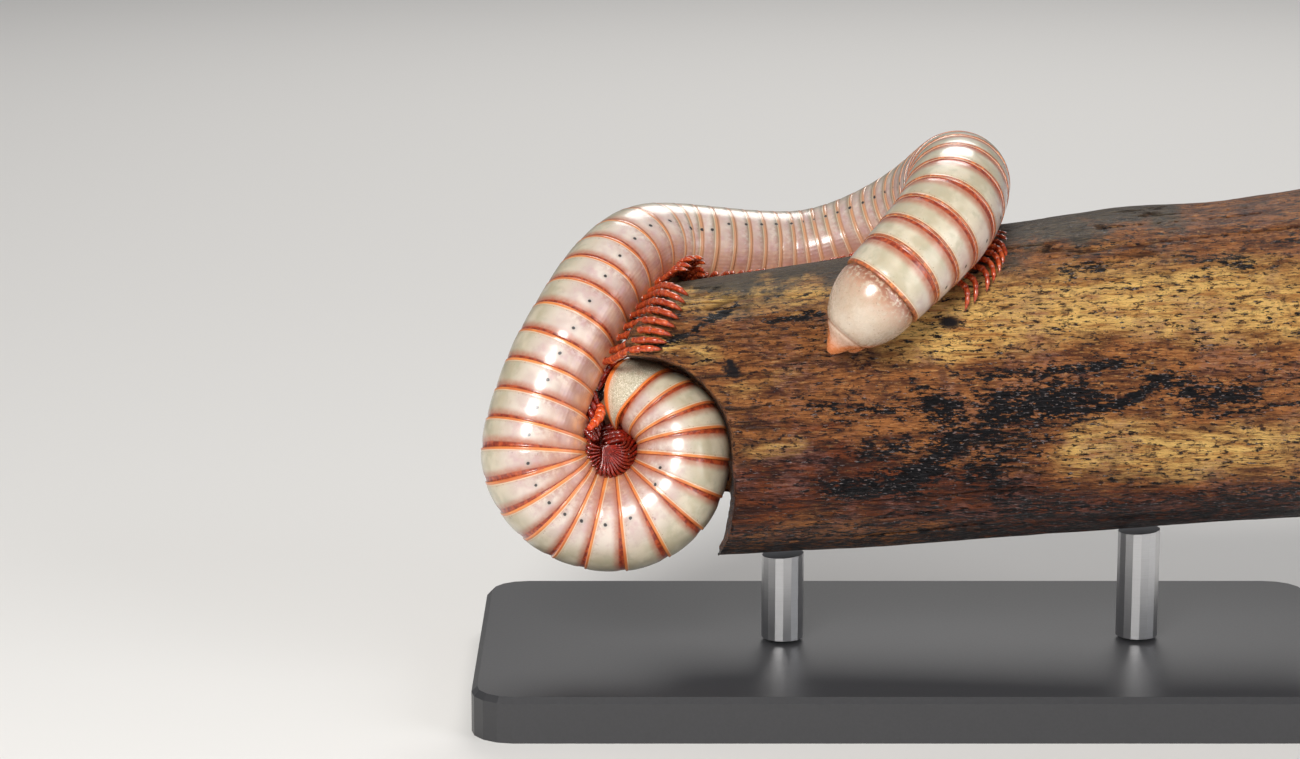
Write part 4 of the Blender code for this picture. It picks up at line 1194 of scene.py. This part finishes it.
def limb(pile, points, joints, girths, across_hint, tick, sides=12, claw=0.0, knuckle=1.0):
    """A jointed tube along a curve. joints are shares of its length, girths the radius at each."""
    shares, radii, marks = [], [], []
    for index in range(len(joints) - 1):
        for part, factor, mark in LIMB_ROWS:
            shares.append(blend(joints[index], joints[index + 1], part) * (1.0 - claw))
            radii.append(blend(girths[index], girths[index + 1], part) * blend(1.0, factor, knuckle))
            marks.append(mark)
    if claw:
        shares += [1.0 - claw * 0.95, 1.0 - claw * 0.45, 1.0]
        radii += [girths[-1] * 0.62, girths[-1] * 0.40, 0.015]
        marks += [0.0, 0.0, 0.0]
    else:
        shares.append(1.0)
        radii.append(girths[-1] * 0.5)
        marks.append(0.0)
    fine = curve_through(points, LIMB_PLACES)
    numbers = np.arange(LIMB_PLACES)
    wanted = np.array(shares) * (LIMB_PLACES - 1)
    spots = looked_up(wanted, numbers, fine)
    ahead = unit(looked_up(wanted, numbers, np.gradient(fine, axis=0)))
    across = unit(across_hint - ahead * (ahead @ across_hint)[:, None])
    ring = swept(across[:, None], np.cross(ahead, across)[:, None], TAU * np.arange(sides) / sides)
    pile.add_tube(spots[:, None] + ring * np.array(radii)[:, None, None],
                  leg=np.repeat(triples(shares, marks, tick), sides, axis=0))


def leg_path(length, ring, side, wobble):
    """Places along one leg that grips the bark or, on the tail, trails."""
    place, rear, back, left = LINE.frames(length)
    radius = float(body_radius(ring))
    held_leg = TRAILING_LEG if ring >= TRAILING_FROM else GRIPPING_LEG
    share_held = ease((ring - 22.5) / 2.0)
    path = []
    for index, (spread, held) in enumerate(zip(SPREAD_LEG, held_leg)):
        down, out, ahead = [blend(p, q, share_held) for p, q in zip(spread, held)]
        ahead += wobble * index / 4
        path.append(place + (left * (out * side) - back * down - rear * ahead) * radius)
    return path[:1] + [clear_of_bark(point, lift) for point, lift in zip(path[1:], ABOVE_BARK)]


def far_swirl_path(place, back, left, radius, ring):
    """A leg of the coil's far side, bent to the place near its centre where they all meet."""
    swell = 1.0 + 0.12 * float(ease((ring - 10.5) / 2.5) * (1.0 - ease((ring - 16.5) / 1.6)))
    root = place - back * (0.84 * swell * radius) - left * (0.20 * radius)
    out = place - back * (0.97 * swell * radius) - left * (0.32 * radius)
    end = leaning(*SWIRL_FAR)
    return [root, out, blend(out, end, 0.5) + AWAY * 0.5, end]


def swirl_leg(degrees):
    """A leg of the near side at an angle about the coil's hole, from the belly to where they meet."""
    turn = math.radians(degrees)
    edge_t = float(from_pairs(SWIRL_DEPTH, -degrees))
    reach = float(from_pairs(SWIRL_REACH, -degrees))

    def at(share, off, t):
        """Share of the way out from the hole's middle, turn from the root and depth."""
        return leaning(SWIRL_CENTRE[0] + reach * share * math.cos(turn + off),
                       SWIRL_CENTRE[1] + reach * share * math.sin(turn + off), t)

    start = [at(1.35, 0.10, edge_t + 0.9), at(1.04, 0.02, edge_t + 0.25)]
    if degrees > -112:
        rise = edge_t - 0.35
        return start + [at(0.84, -0.12, rise), at(0.52, -0.26, min(rise, -4.7)), leaning(*SWIRL_MEET)]
    end = leaning(-3.42, SWIRL_CENTRE[1] + 0.75 * math.sin(turn), -4.75)
    wrist = blend(at(0.62, 0.10, edge_t + 0.25), end, 0.4)
    return start + [at(0.85, 0.10, edge_t + 0.05), wrist, end]


def front_of_bark(x, u, lift):
    """A place that far in front of the branch's front face."""
    height, depth = section(x)
    share = min(abs(u - axis_u(x)) / height, 0.98)
    return leaning(x, u, -depth * math.sqrt(1.0 - share * share) - lift)


def reaching_path(place, back, left, radius, order):
    """A leg of the column that arches over to the front face of the branch's end."""
    root = place - back * (0.78 * radius) + left * (0.16 * radius)
    out = place - back * (0.98 * radius) + left * (0.42 * radius)
    orders, tips_x, tips_u = zip(*REACHED)
    x = float(np.interp(order, orders, tips_x))
    u = float(np.interp(order, orders, tips_u))
    tip = front_of_bark(x, u, 0.18)
    edge_x, edge_u, edge_t = (float(part) for part in flat_places(out))
    far_t = float(flat_places(tip)[2])
    knee = leaning(blend(edge_x, x, 0.42), blend(edge_u, u, 0.42) + 0.42, blend(edge_t, far_t, 0.75) - 0.35)
    wrist = leaning(blend(edge_x, x, 0.78), blend(edge_u, u, 0.78) + 0.26, far_t - 0.30)
    return [root, out, knee, wrist, tip]


def build_legs(shaded_coil_finish, finish):
    """Two pairs to most rings, in two meshes. The near side's inside the coil are a fan of their own. The
    legs in the coil wear a darker horn, painted shade.
    """
    rng = random.Random(11)
    pile, inner = Pile(), Pile()
    for ring in range(2, RINGS - 2):
        radius = float(body_radius(ring))
        for share in (0.5,) if ring <= 4 else (0.30, 0.76):
            length = blend(STARTS[ring - 1], STARTS[ring], share)
            place, rear, back, left = LINE.frames(length)
            for side in (-1, 1):
                wobble = rng.uniform(-0.07, 0.07)
                tick = rng.random()
                scale = 0.85 if ring <= 4 else rng.uniform(0.93, 1.03)
                if side < 0 and ring < FAR_LEGS_END:
                    path = far_swirl_path(place, back, left, radius, ring)
                    limb(inner, path, LEG_JOINTS, FAR_GIRTHS, AWAY, tick, sides=10)
                elif side > 0 and ring in REACHING_RINGS:
                    order = (ring - REACHING_RINGS[0]) * 2 + (1 if share > 0.5 else 0)
                    path = reaching_path(place, back, left, radius, order)
                    limb(pile, path, LEG_JOINTS, REACHING_GIRTHS, rear, tick, claw=CLAW)
                elif ring >= GRIPPING_FROM[side]:
                    path = leg_path(length, ring, side, wobble)
                    girths = [girth * scale for girth in LEG_GIRTHS]
                    limb(pile, path, LEG_JOINTS, girths, rear, tick, claw=CLAW)
    for index in range(SWIRL_LEGS):
        path = swirl_leg(SWIRL_FIRST - SWIRL_STEP * index)
        # every second leg of the swirl is darkened: painted shade that parts them into stripes
        limb(inner, path, LEG_JOINTS, SWIRL_GIRTHS, AWAY, 0.35 * (index % 2), knuckle=0.08)
    for points in TUCKED_LEGS:
        path = [leaning(*point) for point in points]
        limb(inner, path, LEG_JOINTS, TUCKED_GIRTHS, AWAY, rng.random(), knuckle=0.5)
    pile.build("legs", finish, "red_horn")
    inner.build("coil_legs", shaded_coil_finish, "red_horn")


def antenna_root(side):
    place, forward, back, left = head_frame()
    base = place + forward * 1.20 - back * 0.45 + left * (1.90 * side)
    return base, unit(left * side * 0.8 + forward * 0.6)


def build_antennae(finish):
    """Seven beads on a short curved line, with four small cones at the end."""
    _, forward, back, left = head_frame()
    for name, side in (("left", 1), ("right", -1)):
        base, direction = antenna_root(side)
        bend = [base - direction * 0.12]
        if side > 0:
            bend += [leaning(*guide) for guide in ANTENNA_GUIDES]
        else:
            bend += [base + direction * out - back * down + forward * ahead
                     for out, down, ahead in HIDDEN_ANTENNA]
        pile = Pile()
        limb(pile, bend, ANTENNA_JOINTS, ANTENNA_GIRTHS, forward, 0.0, sides=16, knuckle=1.45)
        tip, ahead = bend[-1], unit(bend[-1] - bend[-2])
        across = unit(np.cross(ahead, left))
        other = np.cross(ahead, across)
        for cone in range(4):
            turn = TAU * (cone + 0.5) / 4
            start = tip + (across * math.cos(turn) + other * math.sin(turn)) * 0.06
            limb(pile, [start - ahead * 0.03, start + ahead * 0.03, start + ahead * 0.07],
                 (0.0, 1.0), (0.028, 0.016), across, 0.9, sides=8)
        antenna = pile.build("antenna_beads_" + name, finish, "red_horn")
        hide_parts("antenna_" + name)


# Branch

def tube_mesh(name, rows):
    """A closed mesh of rows of points round a tube, its faces turned outward."""
    pile = Pile()
    pile.add_tube(rows)
    mesh = pile.mesh(name)
    built = bmesh.new()
    built.from_mesh(mesh)
    bmesh.ops.recalc_face_normals(built, faces=built.faces)
    built.to_mesh(mesh)
    built.free()
    return mesh


def cut_branch():
    """The branch's mesh with its broken end and its hollow cut out."""
    stations, around = 60, 96
    rows = [[bark_point(x, TAU * i / around)[0] for i in range(around)]
            for x in np.linspace(BRANCH_LEFT, BRANCH_RIGHT, stations)]
    body = linked("branch_body", tube_mesh("branch_body", rows))
    degrees = np.arange(-180.0, 180.0, 3.0)
    nearer = BORDER_NEARER * ease((degrees + 25.0) / 25.0) * (1.0 - ease((degrees - 95.0) / 20.0))
    reach = from_pairs(HOLLOW_BORDER, degrees) - nearer
    rim = [(COIL_CENTRE[0] + radius * math.cos(math.radians(turn)),
            COIL_CENTRE[1] + radius * math.sin(math.radians(turn)))
           for turn, radius in zip(degrees, reach)]
    cutters = []
    for border, depth in ((rim, HOLLOW_FLOOR), (BROKEN_END, CLEAR_OF_ALL)):
        rows = [[leaning(x, u, t) for x, u in border] for t in (-CLEAR_OF_ALL, depth)]
        cutter = linked("cutter", tube_mesh("prism", rows))
        cut = body.modifiers.new("cut", 'BOOLEAN')
        cut.operation = 'DIFFERENCE'
        cut.solver = 'EXACT'
        cut.object = cutter
        cutters.append(cutter)
    mesh = remeshed(body, WOOD_VOXEL, 2)
    for cutter in cutters:
        bpy.data.objects.remove(cutter)
    return mesh


def grain_noise(places, scales, seed, layers):
    """Layered noise at places stretched by a scale along each axis."""
    return layered(triples(*(part * scale for part, scale in zip(places, scales))), seed, layers)


def build_branch(finish):
    """The branch with its broken, hollowed end, grooved along the grain."""
    mesh = cut_branch()
    points, normals = vectors_of(mesh.vertices, "co"), vectors_of(mesh.vertex_normals, "vector")
    x, u, t = flat_places(points)
    plain, straight = (x, u, t), (x, u - AXIS_SLOPE * x, t)
    height, depth = section(x)
    above, behind = (u - axis_u(x)) / height, t / depth
    angle, level = np.arctan2(behind, above), np.hypot(above, behind)
    end = ease((x - BRANCH_RIGHT + 0.35) / 0.25)
    bark = ease((level - 0.93) / 0.05) * (1.0 - end)
    broken = (1.0 - bark) * (1.0 - end)
    ridges = grain_noise(straight, (0.13, 1.1, 1.1), 3, 4)
    swell = grain_noise(plain, (0.06, 0.17, 0.17), 9, 2)
    fine = grain_noise(straight, (0.6, 3.2, 3.2), 31, 2)
    crack_lines = grain_noise(straight, (0.05, 0.75, 0.75), 47, 3)
    cracked = ease((grain_noise(plain, (0.1, 0.2, 0.2), 53, 2) - 0.02) / 0.25)
    crack = np.exp(-(crack_lines / 0.030) ** 2) * cracked * bark
    lift = bark * (0.10 * ridges + 0.22 * (swell - 0.25) + 0.035 * fine) - 0.26 * crack
    lift = lift + 0.12 * broken * (ridges + fine)
    hump = ease((x - 15.5) / 3.5) * (1.0 - ease((x - 32.0) / 9.0)) * np.exp(-((angle + 0.1) / 0.55) ** 2)
    lift = lift + HUMP_HEIGHT * hump * bark
    mesh.vertices.foreach_set("co", ((points + normals * lift[:, None]) * MM).ravel())
    front = t < 0.0
    drift = 0.9 * grain_noise(plain, (0.25, 0.25, 0.25), 71, 3)
    drifted = (x + drift, u + 0.7 * drift)
    far_char = 0.35 * ease(grain_noise(plain, (0.08, 0.2, 0.2), 61, 3))
    char_and_shade = np.where(front, strokes(*drifted, CHAR_AND_SHADE_STROKES), far_char)
    # darker towards the underside: painted shade, laid into the char; the broken and hollowed faces are
    # darkened a little too
    char_and_shade = np.maximum(char_and_shade, 0.72 * ease((-above - 0.62) / 0.36) * bark) + 0.30 * broken
    off_crest = angle + 0.08
    crest = np.exp(-(np.minimum(off_crest, 0.0) / 0.62) ** 2 - (np.maximum(off_crest, 0.0) / 0.9) ** 2)
    grey = crest * bark * (1.0 - 0.7 * ease((x - 35.0) / 4.0))
    yellow, red = (np.where(front, strokes(*drifted, patches), 0.25) for patches in (YELLOW, RED))
    set_values(mesh, "tone", triples(yellow, red, strokes(x, u, MARKS, sharp=4) * front))
    set_values(mesh, "stain_and_shade", triples(char_and_shade, grey, end))
    set_values(mesh, "relief", triples(crack, lift, level * height))
    branch = place_mesh("branch_wood", mesh, finish)
    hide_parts("branch")


def strokes(x, u, marks, sharp=1):
    """Strength at each place of soft strokes laid along bent lines."""
    total = np.zeros(len(x))
    for path, width, strength in marks:
        nearest = np.full(len(x), 1e6)
        for (ax, au), (bx, bu) in zip(path, path[1:]):
            along = ((x - ax) * (bx - ax) + (u - au) * (bu - au)) / ((bx - ax) ** 2 + (bu - au) ** 2)
            along = np.clip(along, 0.0, 1.0)
            off = ((x - ax - along * (bx - ax)) * STREAK_BEND) ** 2 + (u - au - along * (bu - au)) ** 2
            nearest = np.minimum(nearest, off)
        total = np.maximum(total, strength * np.exp(-(nearest / width ** 2) ** sharp))
    return total


# Surroundings

def build_floor():
    s = Shader("pale_floor")
    mesh = bpy.data.meshes.new("floor")
    corners = ((-1, -1), (1, -1), (1, 1), (-1, 1))
    mesh.from_pydata([(x * FLOOR_REACH, y * FLOOR_REACH, 0) for x, y in corners], [], [(0, 1, 2, 3)])
    mesh.materials.append(s.done(Base_Color=(0.78, 0.77, 0.75), Roughness=0.75))
    floor = linked("floor", mesh)


def build_light():
    world = bpy.data.worlds.new("studio")
    world.use_nodes = True
    world.node_tree.nodes["Background"].inputs["Color"].default_value = SKY
    world.node_tree.nodes["Background"].inputs["Strength"].default_value = SKY_STRENGTH
    bpy.context.scene.world = world
    bpy.context.scene.view_settings.view_transform = 'Standard'
    for name, place, size, power, colour in LIGHTS:
        light = bpy.data.lights.new(name, 'AREA')
        light.shape = 'DISK'
        light.size = size
        light.energy = power
        light.color = colour
        made = linked(name, light)
        made.location = place
        made.rotation_euler = (Vector(LIGHT_TARGET) - Vector(place)).to_track_quat('-Z', 'Y').to_euler()


def build_camera():
    """At the photograph's angle: level across, looking down at the leaning plane squarely."""
    data = bpy.data.cameras.new("camera")
    data.sensor_width = FILM_WIDTH
    data.lens = FILM_WIDTH * CAMERA_DISTANCE / VIEW_WIDTH
    data.clip_start = 0.01
    data.clip_end = 20.0
    camera = linked("camera", data)
    turn = Matrix((Vector(ALONG), Vector(UP), -Vector(AWAY))).transposed().to_4x4()
    turn.translation = Vector((PLANE_ORIGIN - AWAY * CAMERA_DISTANCE) * MM)
    camera.matrix_world = turn
    bpy.context.scene.camera = camera


def main():
    build_camera()
    build_light()
    build_floor()
    build_branch(wood_material())
    build_rings(shell_material("ring_shell"))
    build_telson(telson_material())
    build_collum(collum_material())
    build_head(head_material())
    build_eyes(eye_material())
    build_antennae(horn_material("antenna_horn", *ANTENNA_HORN))
    build_legs(horn_material("shaded_coil_leg_horn", *SHADED_COIL_LEG_HORN), horn_material("leg_horn", *LEG_HORN))
    paint, steel = paint_material(), steel_material()
    for node, finish in (("stand_base", paint), ("stand_rod_1", steel), ("stand_rod_2", steel)):
        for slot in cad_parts[node].material_slots:
            slot.material = finish


main()
